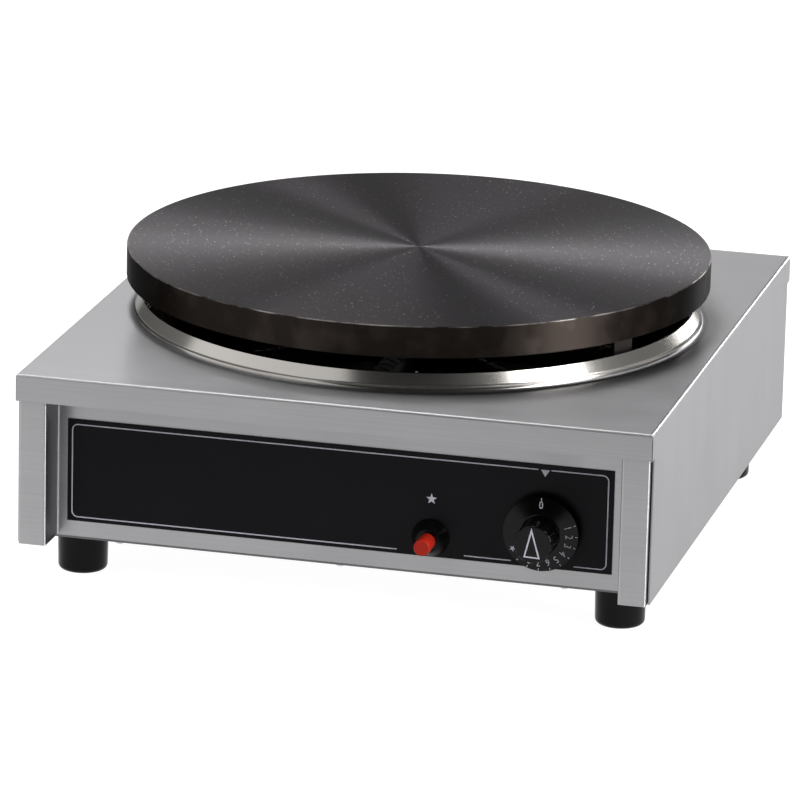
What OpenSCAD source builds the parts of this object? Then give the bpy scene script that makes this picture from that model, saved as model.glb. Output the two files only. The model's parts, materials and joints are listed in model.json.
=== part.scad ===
// Single-plate gas crepe maker: a folded stainless casing on four levelling feet, a cast iron
// plate on three lugs over a star burner, and a gas valve and a spark igniter at the front.
// Millimetres, +Z up, origin on the floor under the middle of the casing, front towards -Y.

/* [Casing] */
// Room from the collar's top edge to a side sheet's face
side_room = 25.9; // [24:0.1:45]
// Room from the collar's top edge to a flange's face
end_space = 41.4; // [39:0.1:60]
// Height of the side sheets
side_h = 118; // [112:1:140]
// Thickness of the stainless sheet
sheet = 1.2; // [0.8:0.1:1.5]
// Outer radius of the folded top edges
fold_r = 2; // [1.5:0.5:5]
// Inner radius of the bends between a panel and its returns
bend_r = 1.2; // [1:0.2:3]
// Height of the front and rear flanges
flange_h = 18.4; // [14:0.2:24]
// Step from a flange back to the posts
flange_step = 2; // [1.8:0.1:3]
// Step from a flange back to the side sheets' upright edges
side_step = 7.5; // [6:0.5:12]
// Width of a post's front face, with the side sheet beside it
post_w = 20.5; // [17:0.5:24]
// Outer radius of the bends along a post's edges
post_bend_r = 1.6; // [1.6:0.1:3]
// Depth of a post's folded outer lip
post_lip = 15; // [8:1:20]
// Open seam between a post and the side sheet
post_seam = 0.5; // [0.4:0.1:1.5]
// Depth from the posts back to the panel
panel_recess = 27.5; // [22:0.5:32]
// How far the panels end below the top sheet
panel_drop = 8; // [5:0.5:12]
// Width of the lips that the base plate is screwed to
base_lip = 14; // [12:0.5:18]
// Open seam at each folded corner of the top sheet
corner_seam = 0.5; // [0.3:0.1:0.8]

/* [Base and feet] */
// Thickness of the base plate
base_t = 1.5; // [1:0.1:2.5]
// Height of a foot under the base plate
foot_h = 29.5; // [22:0.5:40]
// Diameter of a foot at its top
foot_d = 34.4; // [28:0.2:40]
// Diameter of a foot at its bottom
foot_bottom_d = 33.4; // [26:0.2:34]
// Radius of a foot's bottom edge
foot_edge_r = 3.5; // [2:0.5:6]
// Distance of a foot's axis from the casing's side
foot_in_x = 30; // [26:0.5:40]
// Distance of a foot's axis from the flange's face
foot_in_y = 58; // [54:0.5:70]
// How far a foot screws out
foot_travel = 8; // [4:1:12]
// Diameter of a foot's stud
stud_d = 9.9; // [7.9:0.1:11.9]
// Height of a foot's nut
foot_nut_h = 8; // [6:0.5:10]
// Width of a foot's nut across its flats
foot_nut_af = 17; // [15:0.5:19]
// Diameter of a sheet screw's shank
screw_d = 3.9; // [3:0.1:4.5]
// Diameter of a sheet screw's head
screw_head_d = 8; // [6:0.2:9]
// Height of a sheet screw's domed head
screw_head_h = 2.4; // [1.6:0.1:3]
// Length of the cross recess in a sheet screw's head
recess_len = 4.4; // [3:0.1:5]
// Width of the cross recess
recess_w = 0.9; // [0.6:0.1:1.2]
// Depth of the cross recess
recess_in = 1.2; // [0.8:0.1:1.4]
// Length of a sheet screw's shank
screw_len = 8; // [6:0.5:12]
// Distance of the outer base screws from the casing's side
base_screw_in = 63; // [55:0.5:90]
// Distance of the front and rear base screws from the panel's face
base_screw_edge = 5; // [4.5:0.5:8]
// Length of an air slot in the base plate
slot_len = 70; // [40:1:90]
// Width of an air slot in the base plate
slot_w = 6; // [4:0.5:8]
// Spacing of the air slots
slot_pitch = 22; // [14:1:24]
// Air slots in each row
slot_count = 7; // [3:2:9]
// Distance of each row of air slots from the middle
slot_row = 62; // [50:1:90]

/* [Collar and bowl] */
// How far the collar's top edge stands inside the plate's edge
collar_in = 10.4; // [8:0.2:20]
// Height of the collar over the top sheet
collar_h = 12.3; // [8:0.1:14]
// How much wider the collar is at its bead
collar_lean = 4.6; // [3:0.1:6]
// Outer radius of the bead, where the collar's flared wall turns upright
collar_bead = 2; // [1.8:0.1:3]
// Height of the upright stretch under the bead
bead_rise = 0.4; // [0.2:0.1:1.5]
// Radius of the fillet at the collar's foot
collar_fillet = 4; // [2:0.5:5]
// Thickness of the burner bowl's sheet
bowl_t = 0.8; // [0.6:0.1:1.2]
// Depth of the burner bowl under the top sheet
bowl_depth = 50; // [44:1:54]
// Room between the collar and the bowl's wall
bowl_gap = 2.5; // [0.5:0.1:3]
// Width of the bowl's flange under the top sheet
bowl_flange = 17; // [12:0.5:19]

/* [Plate] */
// Diameter of the cast iron plate
plate_d = 400; // [390:1:420]
// Height of the plate's rim
plate_t = 21.8; // [16:0.1:26]
// Gap between the collar and the plate
plate_gap = 13.1; // [10:0.1:20]
// Radius of the plate's upper edge
plate_edge_r = 0.6; // [0.4:0.1:2]
// Radius of the plate's lower edge
plate_lower_r = 1; // [1:0.5:4]
// Width of the plate's full-depth border
plate_border = 45; // [42:1:70]
// Depth of the recess under the plate
recess_depth = 6; // [3:0.5:8]
// Width of a lug
lug_w = 18; // [14:0.5:24]
// Thickness of a lug
lug_t = 3; // [2:0.5:4]
// Length of the seat at the top of a lug
lug_seat = 24; // [20:0.5:27]
// Height of a lug below the top sheet
lug_below = 34; // [28:1:38]
// Plan angle of the front right lug
lug_a = -28; // [-40:1:-20]
// Diameter of a plate dowel
dowel_d = 6; // [4:0.5:8]
// How far a dowel goes into the plate
dowel_in = 7; // [4:0.5:10]

/* [Label] */
// Room from the label's left end to the panel's left edge
label_left = 7; // [4:0.5:30]
// Room from the label's right end to the panel's right edge
label_right = 10; // [4:0.5:30]
// Height of the control label
label_h = 71; // [60:0.5:76]
// Thickness of the control label
label_t = 0.5; // [0.3:0.1:0.8]
// Distance of the label's top edge below the top sheet
label_drop = 36.1; // [32:0.1:40]

/* [Gas knob] */
// Distance of the knob's axis from the casing's right side
knob_in = 77.3; // [74:0.1:88]
// Distance of the knob's axis below the top sheet
knob_drop = 81.7; // [78:0.1:86]
// Diameter of the knob's skirt
skirt_d = 50.5; // [44:0.5:54]
// Thickness of the skirt's rim
rim_t = 3; // [2:0.5:4]
// Rise of the skirt's dial from its rim to the grip
cone_h = 2; // [1:0.5:5]
// Diameter of the knob's grip
grip_d = 25.6; // [22:0.2:30]
// How much wider the grip is at its foot, on the radius
grip_taper = 0.5; // [0.2:0.1:2]
// Radius of the hollow fillet at the grip's foot
grip_fillet = 1; // [0.5:0.1:2]
// Number of flutes round the grip
flute_count = 12; // [6:1:18]
// Radius of a flute
flute_r = 1.2; // [0.6:0.1:2]
// Depth of a flute
flute_depth = 0.8; // [0.4:0.1:1.2]
// Distance of the knob's face from the panel
knob_face = 31.5; // [28:0.5:36]
// How far the knob is pushed in
knob_travel = 4; // [2:0.5:5]
// Diameter of the valve's spindle
spindle_d = 6; // [5:0.5:8]

/* [Igniter] */
// Distance of the igniter's axis from the knob's axis
igniter_off = 75.8; // [60:0.1:90]
// Distance of the igniter's axis below the top sheet
igniter_drop = 93.8; // [88:0.1:95]
// Diameter of the bezel at the label
bezel_d = 25.4; // [22:0.2:26]
// Diameter of the bezel at its nose
bezel_nose_d = 16; // [14:0.5:18]
// Height of the bezel over the panel
bezel_h = 9.8; // [8:0.2:12]
// Diameter of the red button
button_d = 11; // [9:0.2:12]
// Distance of the button's face from the panel
button_face = 25.6; // [24:0.2:30]
// How far the button is pressed
button_travel = 7; // [4:0.5:8]
// Diameter of the igniter's sleeve through the panel
sleeve_d = 16; // [15:0.5:17]
// Diameter of the igniter's body behind the panel
igniter_d = 18; // [17:0.5:20]
// Length of the igniter's sleeve behind the panel's face
sleeve_len = 16; // [14:0.5:18]
// Length of the igniter's body
igniter_len = 26; // [24:0.5:30]

/* [Gas train] */
// Width of the valve's block
valve_w = 60; // [50:1:64]
// Depth of the valve's block
valve_d = 58; // [54:1:60]
// Height of the valve's block
valve_h = 40; // [36:1:42]
// Distance of the valve's block behind the panel's face
valve_back = 12; // [10:0.5:14]
// Distance of the burner pipe's port behind the valve's front
port_back = 28.5; // [20:0.5:36]
// Radius of the gas inlet's thread
inlet_r = 10.48; // [8:0.01:12]
// Length of the gas inlet behind the rear panel
inlet_len = 31.5; // [26:0.5:36]
// Step from the inlet's shoulder down to its thread
inlet_step = 0.5; // [0.3:0.1:1]
// Width of the inlet's nut and collar across the flats
inlet_af = 27; // [26:0.5:30]
// Height of the inlet's nut and collar
inlet_nut_h = 6; // [5:0.5:8]
// Outer radius of the inlet pipe
inlet_pipe_r = 6; // [5:0.5:7]
// Outer radius of the burner pipe
burner_pipe_r = 5; // [4:0.5:6]
// Wall of the gas pipes
pipe_wall = 1; // [0.6:0.1:1.5]
// Bend radius of the burner pipe
pipe_bend = 18; // [14:1:24]
// Length of a pipe nut
pipe_nut_h = 11; // [8:0.5:12]

/* [Burner] */
// Number of burner arms
arm_count = 8; // [6:1:10]
// Reach of the burner arms
arm_len = 150; // [120:1:165]
// Outer radius of a burner arm
arm_r = 9; // [7:0.5:11]
// Wall of the burner's casting
burner_wall = 2.5; // [1.5:0.1:3.5]
// Radius of the burner's hub
hub_r = 34; // [30:1:40]
// Height of the arms' axis over the bowl's bottom
arm_rise = 30; // [26:0.5:34]
// Slots along each arm
port_count = 11; // [6:1:14]
// Width of a slot
port_w = 2; // [1:0.1:3]
// Radius of the mixing tube
mix_r = 15; // [12:0.5:16]
// Wall of the mixing tube
mix_wall = 2.5; // [1.5:0.1:3]
// Radius of the bolted flange between tube and burner
mix_flange_r = 28; // [26:0.5:32]

/* [Hidden] */
$fn = 96;

// Overlap of a cut past the face that it opens
eps = 1;
// Overlap where two stretches of one casting join
weld = 0.5;
// Room round a screw, stud or pipe in its hole
hole_room = 0.1;
// Running room round a shaft or button, on the radius
run_room = 0.06;
// Room left at the end of a travel
end_room = 0.5;
// Room between parts that are laid together but do not press
lay_room = 0.2;

// Levels from the floor up
base_z = foot_h;
side_z = base_z + base_t;
top_z = side_z + side_h;
under_z = top_z - sheet;
collar_z = top_z + collar_h;
plate_z = collar_z + plate_gap;
plate_top_z = plate_z + plate_t;
recess_z = plate_z + recess_depth;
bowl_z = under_z - bowl_depth;
bowl_floor_z = bowl_z + bowl_t;
arm_z = bowl_floor_z + arm_rise;

// Places across and along the casing, which fits round the collar
collar_r = plate_d / 2 - collar_in;
side_x = collar_r + side_room;
flange_y = collar_r + end_space;
casing_w = 2 * side_x;
casing_d = 2 * flange_y;
post_y = flange_y - flange_step;
panel_y = post_y - panel_recess;
post_in_x = side_x - post_w;
post_out_x = side_x - sheet - post_seam;
foot_x = side_x - foot_in_x;
foot_y = flange_y - foot_in_y;
base_half_x = side_x - sheet;
base_screw_x = side_x - base_screw_in;
base_screw_y = panel_y - base_screw_edge;
side_lip_y = panel_y - 1.5 * base_lip;
side_screw_x = side_x - base_lip / 2;
side_screw_y = foot_y - foot_d;
cover_screw_x = (post_in_x + post_out_x) / 2;
cover_screw_z = top_z - flange_h / 2;

// Label, between the edges of the panel
label_w = 2 * post_in_x - label_left - label_right;
label_x = (label_left - label_right) / 2;

// Collar, plate, bowl and lugs
recess_r = plate_d / 2 - plate_border;
collar_foot_r = collar_r + collar_lean;
bowl_r = collar_r - sheet - bowl_gap;
bowl_in_r = bowl_r - bowl_t;
lug_r = sqrt(bowl_in_r * bowl_in_r - lug_w * lug_w / 4) - 0.05;
lug_bottom_z = under_z - lug_below;
lug_angles = [lug_a, 180 - lug_a, 90];
dowel_r_at = lug_r - lug_seat / 2 - lug_t / 2;
dowel_head_h = 2;

// Knob, spindle and valve, as distances in front of the panel's face
knob_x = side_x - knob_in;
knob_z = top_z - knob_drop;
knob_back = label_t + knob_travel + end_room;
cone_top = knob_back + rim_t + cone_h;
spindle_r = spindle_d / 2;
spindle_flat = spindle_r * 0.5;
spindle_end = knob_face - 7;
knob_hub_r = spindle_r + 5;
gland_r = spindle_r + 5;
chamber_r = spindle_r + 4.5;
chamber_front = -valve_back - 6;
plunger_front = chamber_front - lay_room;
plunger_len = 7;
plunger_back = plunger_front - plunger_len;
shoulder_back = plunger_back - lay_room / 2 - 2;
chamber_back = -valve_back - valve_d + 6;
valve_front_y = -panel_y + valve_back;
valve_rear_y = valve_front_y + valve_d;
valve_side_x = knob_x - valve_w / 2;
port_boss_r = 9;
port_boss_len = 6;

// Igniter, as distances in front of the panel's face
igniter_x = knob_x - igniter_off;
igniter_z = top_z - igniter_drop;
button_r = button_d / 2;
igniter_bore_r = button_r + 1.2;
igniter_end = -sleeve_len - igniter_len;
button_shoulder_len = 4;
button_back = -sleeve_len - lay_room - button_shoulder_len;
igniter_floor = igniter_end + 3;
terminal_len = 8;
terminal_end = igniter_end - terminal_len;
lead_r = 2;

// Burner and gas train
mix_z = bowl_z - mix_r - 9;
hub_base_h = 5;
holder_r = 6;
holder_hex_len = 14;
jet_len = 8;
burner_pipe_y = valve_front_y + port_back;
holder_end_y = burner_pipe_y + pipe_bend + pipe_nut_h;
mix_front_y = holder_end_y + holder_hex_len;
mix_len = -mix_front_y;
inlet_tail_y = panel_y - sheet - inlet_nut_h - 12;
bolt_r = 2.5;
bolt_circle = (mix_r + mix_flange_r) / 2 + 1;

// Pilot group, standing on the bowl's bottom between two burner arms
pilot_at = [38, -92];
pilot_pitch = 15;
pilot_plate_z = bowl_floor_z + 14;
pilot_plate_t = 1.5;
pilot_seat_z = pilot_plate_z + pilot_plate_t;
pilot_stem_r = 3.5;
pilot_collar_r = 5.5;
pilot_collar_h = 3;
pilot_stem_z = bowl_z - 6;
electrode_at = [pilot_at[0] - pilot_pitch, pilot_at[1], 0];
thermo_at = [pilot_at[0] + pilot_pitch, pilot_at[1], 0];
pilot_mid = [pilot_at[0], pilot_at[1], 0];
electrode_end_z = pilot_stem_z - 6;

// Thermostat bulb under the plate, and the hole that its capillary rises through
bulb_r = 3.5;
bulb_len = 70;
bulb_y = 60;
bulb_x = 10;
bulb_z = recess_z - bulb_r - lay_room;
capillary_r = 1.5;
capillary_hole = [bulb_x + bulb_len + 30, bulb_y];

// Where the small lines leave the valve's rear face
pilot_port = [knob_x - valve_w / 2 + 8, knob_z + 8];
thermo_port = [knob_x - valve_w / 2 + 8, knob_z - 10];
capillary_port = [knob_x + valve_w / 2 - 8, knob_z + 12];

// Routes of the small lines: straight leads behind the valve, and the eased corners' setbacks
pilot_straight = 22;
thermo_straight = 16;
capillary_straight = 40;
ignition_straight = 26;
pipe_ease = 12;
line_ease = 14;
pilot_swing = [22, 20, 14];
capillary_run = 60;
ignition_route = [[igniter_x, -panel_y - terminal_end, igniter_z],
                  [igniter_x, -panel_y - terminal_end + ignition_straight, igniter_z],
                  [electrode_at[0], pilot_at[1], igniter_z + 4],
                  [electrode_at[0], pilot_at[1], electrode_end_z]];
pilot_route = [[pilot_port[0], valve_rear_y, pilot_port[1]],
               [pilot_port[0], valve_rear_y + pilot_straight, pilot_port[1]],
               [pilot_at[0] + pilot_swing[0], pilot_at[1] + pilot_swing[1], pilot_port[1]],
               [pilot_at[0], pilot_at[1] + pilot_swing[2], pilot_port[1]],
               [pilot_at[0], pilot_at[1], pilot_stem_z - 10],
               [pilot_at[0], pilot_at[1], pilot_stem_z]];
thermo_route = [[thermo_port[0], valve_rear_y, thermo_port[1]],
                [thermo_port[0], valve_rear_y + thermo_straight, thermo_port[1]],
                [thermo_at[0], pilot_at[1], thermo_port[1] + 4],
                [thermo_at[0], pilot_at[1], pilot_stem_z]];
capillary_route = [[capillary_port[0], valve_rear_y, capillary_port[1]],
                   [capillary_port[0], valve_rear_y + capillary_straight, capillary_port[1]],
                   [capillary_hole[0], capillary_hole[1] - capillary_run, capillary_port[1]],
                   [capillary_hole[0], capillary_hole[1], capillary_port[1] + 4],
                   [capillary_hole[0], capillary_hole[1], bulb_z],
                   [bulb_x + bulb_len, bulb_y, bulb_z]];

steel = "#b9b9ba";
dark_steel = "#4a4846";
iron = "#3b3735";
brass = "#b5944f";
copper = "#b06a45";
black = "#17171a";
red = "#b92d23";
ceramic = "#e4e0d6";

// Points on an arc, counted from angle a0 to angle a1
function arc(c, r, a0, a1, n = 6) =
    [for (i = [0:n]) c + r * [cos(a0 + (a1 - a0) * i / n), sin(a0 + (a1 - a0) * i / n)]];

function unit(v) = v / norm(v);

// A route with its corners eased, each over the same setback
function eased(p, setback, n = 4) =
    [for (i = [0:len(p) - 1])
        each (i == 0 || i == len(p) - 1) ? [p[i]]
                                         : eased_corner(p[i - 1], p[i], p[i + 1], setback, n)];

function eased_corner(before, at, after, setback, n) =
    let (reach = min(setback, norm(before - at) * 0.45, norm(after - at) * 0.45),
         a = at + unit(before - at) * reach,
         b = at + unit(after - at) * reach)
    [for (k = [0:n]) let (u = k / n) (1 - u) * (1 - u) * a + 2 * u * (1 - u) * at + u * u * b];

// Directions along a path, and one sideways direction carried along it
function tangents(p) =
    [for (i = [0:len(p) - 1]) unit(p[min(i + 1, len(p) - 1)] - p[max(i - 1, 0)])];

function sideways(t) = unit(abs(t[2]) < 0.9 ? cross(t, [0, 0, 1]) : cross(t, [1, 0, 0]));

function carried(tans) =
    [for (i = 0, s = sideways(tans[0]); i < len(tans);
          i = i + 1, s = i < len(tans) ? unit(s - (s * tans[i]) * tans[i]) : s) s];

// A round solid that follows a path
module swept(path, r, sides = 8) {
    tans = tangents(path);
    side = carried(tans);
    last = len(path) - 1;
    rings = [for (i = [0:last], k = [0:sides - 1])
        let (a = 360 * k / sides)
        path[i] + r * (cos(a) * side[i] + sin(a) * cross(tans[i], side[i]))];
    walls = [for (i = [0:last - 1], k = [0:sides - 1])
        let (a = i * sides + k, b = i * sides + (k + 1) % sides)
        each [[a, a + sides, b], [b, a + sides, b + sides]]];
    caps = [for (k = [1:sides - 2])
        each [[0, k, k + 1], [last * sides, last * sides + k + 1, last * sides + k]]];
    polyhedron(rings, concat(walls, caps), convexity = 8);
}

// A coil spring round the local z axis
module coil(r, wire_r, z0, z1, turns) {
    steps = turns * 10;
    path = [for (i = [0:steps]) [r * cos(36 * i), r * sin(36 * i), z0 + (z1 - z0) * i / steps]];
    swept(path, wire_r, 6);
}

// A turned piece from its outline as radius and height
module turned(outline) rotate_extrude() polygon(outline);

// A hexagon by its width across the flats
module hexagon(af) circle(d = af / cos(30), $fn = 6);

// Local z runs out of the front panel's face, and local y runs up
module on_panel(x, z) translate([x, -panel_y, z]) rotate([90, 0, 0]) children();

// Local z runs towards the rear of the casing
module towards_rear(x, y, z) translate([x, y, z]) rotate([-90, 0, 0]) children();

module both_sides() {
    children();
    mirror([1, 0, 0]) children();
}

module front_and_rear() {
    children();
    mirror([0, 1, 0]) children();
}

// A slab seen from its end, with its two upper corners folded
module folded_end(w, z0, z1, r) {
    translate([-w / 2, z0]) square([w, z1 - r - z0]);
    translate([-w / 2 + r, z0]) square([w - 2 * r, z1 - z0]);
    for (s = [-1, 1]) translate([s * (w / 2 - r), z1 - r]) circle(r);
}

// A box with its four upper edges folded
module folded_box(w, d, z0, z1, r) {
    intersection() {
        rotate([90, 0, 0]) linear_extrude(d, center = true) folded_end(w, z0, z1, r);
        rotate([90, 0, 90]) linear_extrude(w, center = true) folded_end(d, z0, z1, r);
    }
}

// A clearance hole for a sheet screw, cut past both faces of a sheet at local z = 0
module screw_hole(h) {
    translate([0, 0, -eps]) cylinder(h = h + 2 * eps, d = screw_d + 2 * hole_room);
}

// Places of the base screws: three along the front and rear lips, two along each side
module at_base_screws() {
    for (x = [-base_screw_x, 0, base_screw_x], y = [-base_screw_y, base_screw_y])
        translate([x, y, 0]) children();
    for (x = [-side_screw_x, side_screw_x], y = [-side_screw_y, side_screw_y])
        translate([x, y, 0]) children();
}

module at_feet() {
    for (x = [-foot_x, foot_x], y = [-foot_y, foot_y]) translate([x, y, 0]) children();
}

module at_lugs() {
    for (a = lug_angles) rotate(a) children();
}

// A sheet screw pointing along local +z, with its domed head below z = 0
module sheet_screw() {
    dome = (screw_head_d * screw_head_d / 4 + screw_head_h * screw_head_h) / (2 * screw_head_h);
    difference() {
        intersection() {
            translate([0, 0, dome - screw_head_h]) sphere(dome);
            translate([0, 0, -screw_head_h]) cylinder(h = screw_head_h, d = screw_head_d);
        }
        for (a = [0, 90])
            rotate(a) translate([-recess_len / 2, -recess_w / 2, -screw_head_h - eps])
                cube([recess_len, recess_w, recess_in + eps]);
    }
    translate([0, 0, -weld]) cylinder(h = screw_len + weld, d = screw_d);
}

module collar_ring() {
    fillet_c = [collar_foot_r + collar_fillet, top_z + collar_fillet];
    bead_c = [collar_foot_r - collar_bead, fillet_c[1] + bead_rise];
    edge = [collar_r, collar_z] - bead_c;
    flare_a = atan2(edge[1], edge[0]) - acos(collar_bead / norm(edge));
    seat_r = fillet_c[0] + 2;
    turned(concat([[seat_r, top_z]],
                  arc(fillet_c, collar_fillet, 270, 180, 18),
                  arc(bead_c, collar_bead, 0, flare_a, 8),
                  [[collar_r, collar_z], [collar_r - sheet / cos(flare_a), collar_z]],
                  arc(bead_c, collar_bead - sheet, flare_a, 0),
                  arc(fillet_c, collar_fillet + sheet, 180, 270),
                  [[seat_r, under_z]]));
}

module top_cover() {
    open_r = collar_foot_r + collar_fillet;
    color(steel) {
        difference() {
            folded_box(casing_w, casing_d, side_z, top_z, fold_r);
            folded_box(casing_w - 2 * sheet, casing_d - 2 * sheet, side_z - eps, under_z, fold_r - sheet);
            translate([0, 0, under_z - eps]) cylinder(h = sheet + 2 * eps, r = open_r);
            front_and_rear() {
                translate([-side_x - eps, flange_y - side_step, side_z - eps])
                    cube([casing_w + 2 * eps, side_step + eps, side_h - flange_h + eps]);
                both_sides()
                    translate([side_x, flange_y, top_z - flange_h - eps]) rotate(45)
                        translate([-corner_seam / 2 - 4 * sheet, -corner_seam / 2, 0])
                            cube([8 * sheet, corner_seam, flange_h + eps - fold_r - corner_seam]);
            }
            both_sides() towards_rear(cover_screw_x, post_y, cover_screw_z) screw_hole(flange_step + eps);
        }
        collar_ring();
        both_sides() difference() {
            translate([side_x - base_lip, -side_lip_y, side_z])
                cube([base_lip - sheet / 2, 2 * side_lip_y, sheet]);
            at_base_screws() translate([0, 0, side_z]) screw_hole(sheet);
        }
    }
}

// Plan outline of a post: a folded channel, open towards the rear
module post_plan() {
    difference() {
        channel_plan(post_in_x, post_out_x, -post_y, post_bend_r);
        channel_plan(post_in_x + sheet, post_out_x - sheet, -post_y + sheet, post_bend_r - sheet);
        translate([post_in_x - eps, -post_y + post_lip])
            square([post_out_x - post_in_x + 2 * eps, panel_recess + eps]);
    }
    translate([post_in_x, -post_y + post_lip - weld])
        square([sheet, panel_recess - post_lip + sheet + weld]);
}

// Plan outline that rounds the corner between a return and the panel
module bend_plan() {
    polygon(concat([[post_in_x - bend_r, -panel_y + weld], [post_in_x + weld, -panel_y + weld],
                    [post_in_x + weld, -panel_y - bend_r]],
                   arc([post_in_x - bend_r, -panel_y - bend_r], bend_r, 0, 90)));
}

module channel_plan(x0, x1, y0, r) {
    translate([x0 + r, y0]) square([x1 - x0 - 2 * r, r + weld]);
    translate([x0, y0 + r]) square([x1 - x0, panel_recess]);
    for (x = [x0 + r, x1 - r]) translate([x, y0 + r]) circle(r);
}

// A bent end sheet: panel, returns, posts and the lip that the base plate is screwed to
module end_sheet() {
    difference() {
        union() {
            both_sides() translate([0, 0, side_z]) linear_extrude(side_h - sheet - lay_room) post_plan();
            both_sides() translate([0, 0, side_z]) linear_extrude(side_h - panel_drop) bend_plan();
            translate([-post_in_x - weld, -panel_y, side_z])
                cube([2 * (post_in_x + weld), sheet, side_h - panel_drop]);
            translate([-post_in_x + base_lip, -panel_y, side_z])
                cube([2 * (post_in_x - base_lip), base_lip, sheet]);
        }
        at_base_screws() translate([0, 0, side_z]) screw_hole(sheet);
    }
}

module front_frame() {
    color(steel) difference() {
        end_sheet();
        on_panel(knob_x, knob_z) cylinder(h = 4 * sheet, r = gland_r + hole_room, center = true);
        on_panel(igniter_x, igniter_z) cylinder(h = 4 * sheet, d = sleeve_d + 2 * hole_room, center = true);
    }
}

module rear_frame() {
    color(steel) difference() {
        mirror([0, 1, 0]) end_sheet();
        towards_rear(knob_x, panel_y, knob_z)
            cylinder(h = 4 * sheet, r = inlet_r + inlet_step + hole_room, center = true);
        both_sides() towards_rear(cover_screw_x, post_y - 2 * sheet, cover_screw_z) screw_hole(4 * sheet);
    }
}

module base_plate() {
    color(steel) difference() {
        translate([-base_half_x, -panel_y, base_z]) cube([2 * base_half_x, 2 * panel_y, base_t]);
        at_base_screws() translate([0, 0, base_z]) screw_hole(base_t);
        at_feet() translate([0, 0, base_z - eps])
            cylinder(h = base_t + 2 * eps, d = stud_d + 4 * hole_room);
        for (row = [-1, 1], i = [0:slot_count - 1])
            translate([(i - (slot_count - 1) / 2) * slot_pitch - slot_w / 2, row * slot_row - slot_len / 2,
                       base_z - eps])
                cube([slot_w, slot_len, base_t + 2 * eps]);
    }
}

module base_screws() {
    color(steel) at_base_screws() translate([0, 0, base_z]) sheet_screw();
}

module cover_screws() {
    color(steel) both_sides()
        translate([cover_screw_x, flange_y, cover_screw_z]) rotate([90, 0, 0]) sheet_screw();
}

module control_label() {
    color(black) difference() {
        translate([label_x - label_w / 2, -panel_y - label_t, top_z - label_drop - label_h])
            cube([label_w, label_t, label_h]);
        on_panel(knob_x, knob_z) cylinder(h = 4 * label_t, r = gland_r + hole_room, center = true);
        on_panel(igniter_x, igniter_z)
            cylinder(h = 4 * label_t, d = sleeve_d + 2 * hole_room, center = true);
    }
}

// A levelling foot with its stud
module foot() {
    color(black) {
        turned(concat([[0, 0]],
                      arc([foot_bottom_d / 2 - foot_edge_r, foot_edge_r], foot_edge_r, 270, 360),
                      [[foot_d / 2, base_z], [0, base_z]]));
        translate([0, 0, base_z - weld])
            cylinder(h = weld + base_t + foot_nut_h + foot_travel + 2, d = stud_d);
    }
}

module foot_front_left() translate([-foot_x, -foot_y, 0]) foot();
module foot_front_right() translate([foot_x, -foot_y, 0]) foot();
module foot_rear_left() translate([-foot_x, foot_y, 0]) foot();
module foot_rear_right() translate([foot_x, foot_y, 0]) foot();

module foot_nuts() {
    color(steel) at_feet() translate([0, 0, side_z]) linear_extrude(foot_nut_h) difference() {
        hexagon(foot_nut_af);
        circle(stud_d / 2 + run_room);
    }
}

module griddle_plate() {
    r = plate_d / 2;
    color(iron) difference() {
        turned(concat([[0, recess_z], [recess_r, recess_z], [recess_r + recess_depth / 2, plate_z]],
                      arc([r - plate_lower_r, plate_z + plate_lower_r], plate_lower_r, 270, 360),
                      arc([r - plate_edge_r, plate_top_z - plate_edge_r], plate_edge_r, 0, 90),
                      [[0, plate_top_z]]));
        at_lugs() translate([dowel_r_at, 0, plate_z - eps])
            cylinder(h = dowel_in + lay_room + eps, d = dowel_d + 2 * hole_room);
    }
}

module plate_lugs() {
    color(dark_steel) at_lugs() difference() {
        union() {
            translate([lug_r - lug_t, -lug_w / 2, lug_bottom_z])
                cube([lug_t, lug_w, plate_z - lug_bottom_z]);
            translate([lug_r - lug_seat, -lug_w / 2, plate_z - lug_t]) cube([lug_seat, lug_w, lug_t]);
        }
        translate([dowel_r_at, 0, plate_z - lug_t - eps])
            cylinder(h = lug_t + 2 * eps, d = dowel_d + 2 * hole_room);
        at_lug_screws() screw_hole(screw_len);
    }
}

// Local z runs inwards through a lug, from the bowl's outer wall
module at_lug_screws() {
    for (k = [1, 3])
        translate([bowl_r, 0, lug_bottom_z + k * lug_below / 4]) rotate([0, -90, 0]) children();
}

module lug_screws() {
    color(steel) at_lugs() at_lug_screws() sheet_screw();
}

module plate_dowels() {
    color(steel) at_lugs() translate([dowel_r_at, 0, plate_z - lug_t]) {
        translate([0, 0, -dowel_head_h]) cylinder(h = dowel_head_h, r = dowel_d / 2 + 2);
        translate([0, 0, -weld]) cylinder(h = weld + lug_t + dowel_in, d = dowel_d);
    }
}

module burner_bowl() {
    color(dark_steel) difference() {
        turned([[0, bowl_z], [bowl_r, bowl_z], [bowl_r, under_z - bowl_t],
                [bowl_r + bowl_flange, under_z - bowl_t], [bowl_r + bowl_flange, under_z],
                [bowl_in_r, under_z], [bowl_in_r, bowl_floor_z], [0, bowl_floor_z]]);
        translate([0, 0, bowl_z - eps]) {
            cylinder(h = bowl_t + 2 * eps, r = mix_r);
            at_burner_bolts() cylinder(h = bowl_t + 2 * eps, r = bolt_r + hole_room);
            for (p = [electrode_at, pilot_mid, thermo_at])
                translate([p[0], p[1], 0]) cylinder(h = bowl_t + 2 * eps, r = pilot_stem_r + 3 * hole_room);
            translate([capillary_hole[0], capillary_hole[1], 0])
                cylinder(h = bowl_t + 2 * eps, r = capillary_r + 3 * hole_room);
        }
        at_lugs() at_lug_screws() screw_hole(bowl_t);
    }
}

module at_burner_bolts() {
    for (a = [30, 150, 270]) rotate(a) translate([bolt_circle, 0, 0]) children();
}

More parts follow.
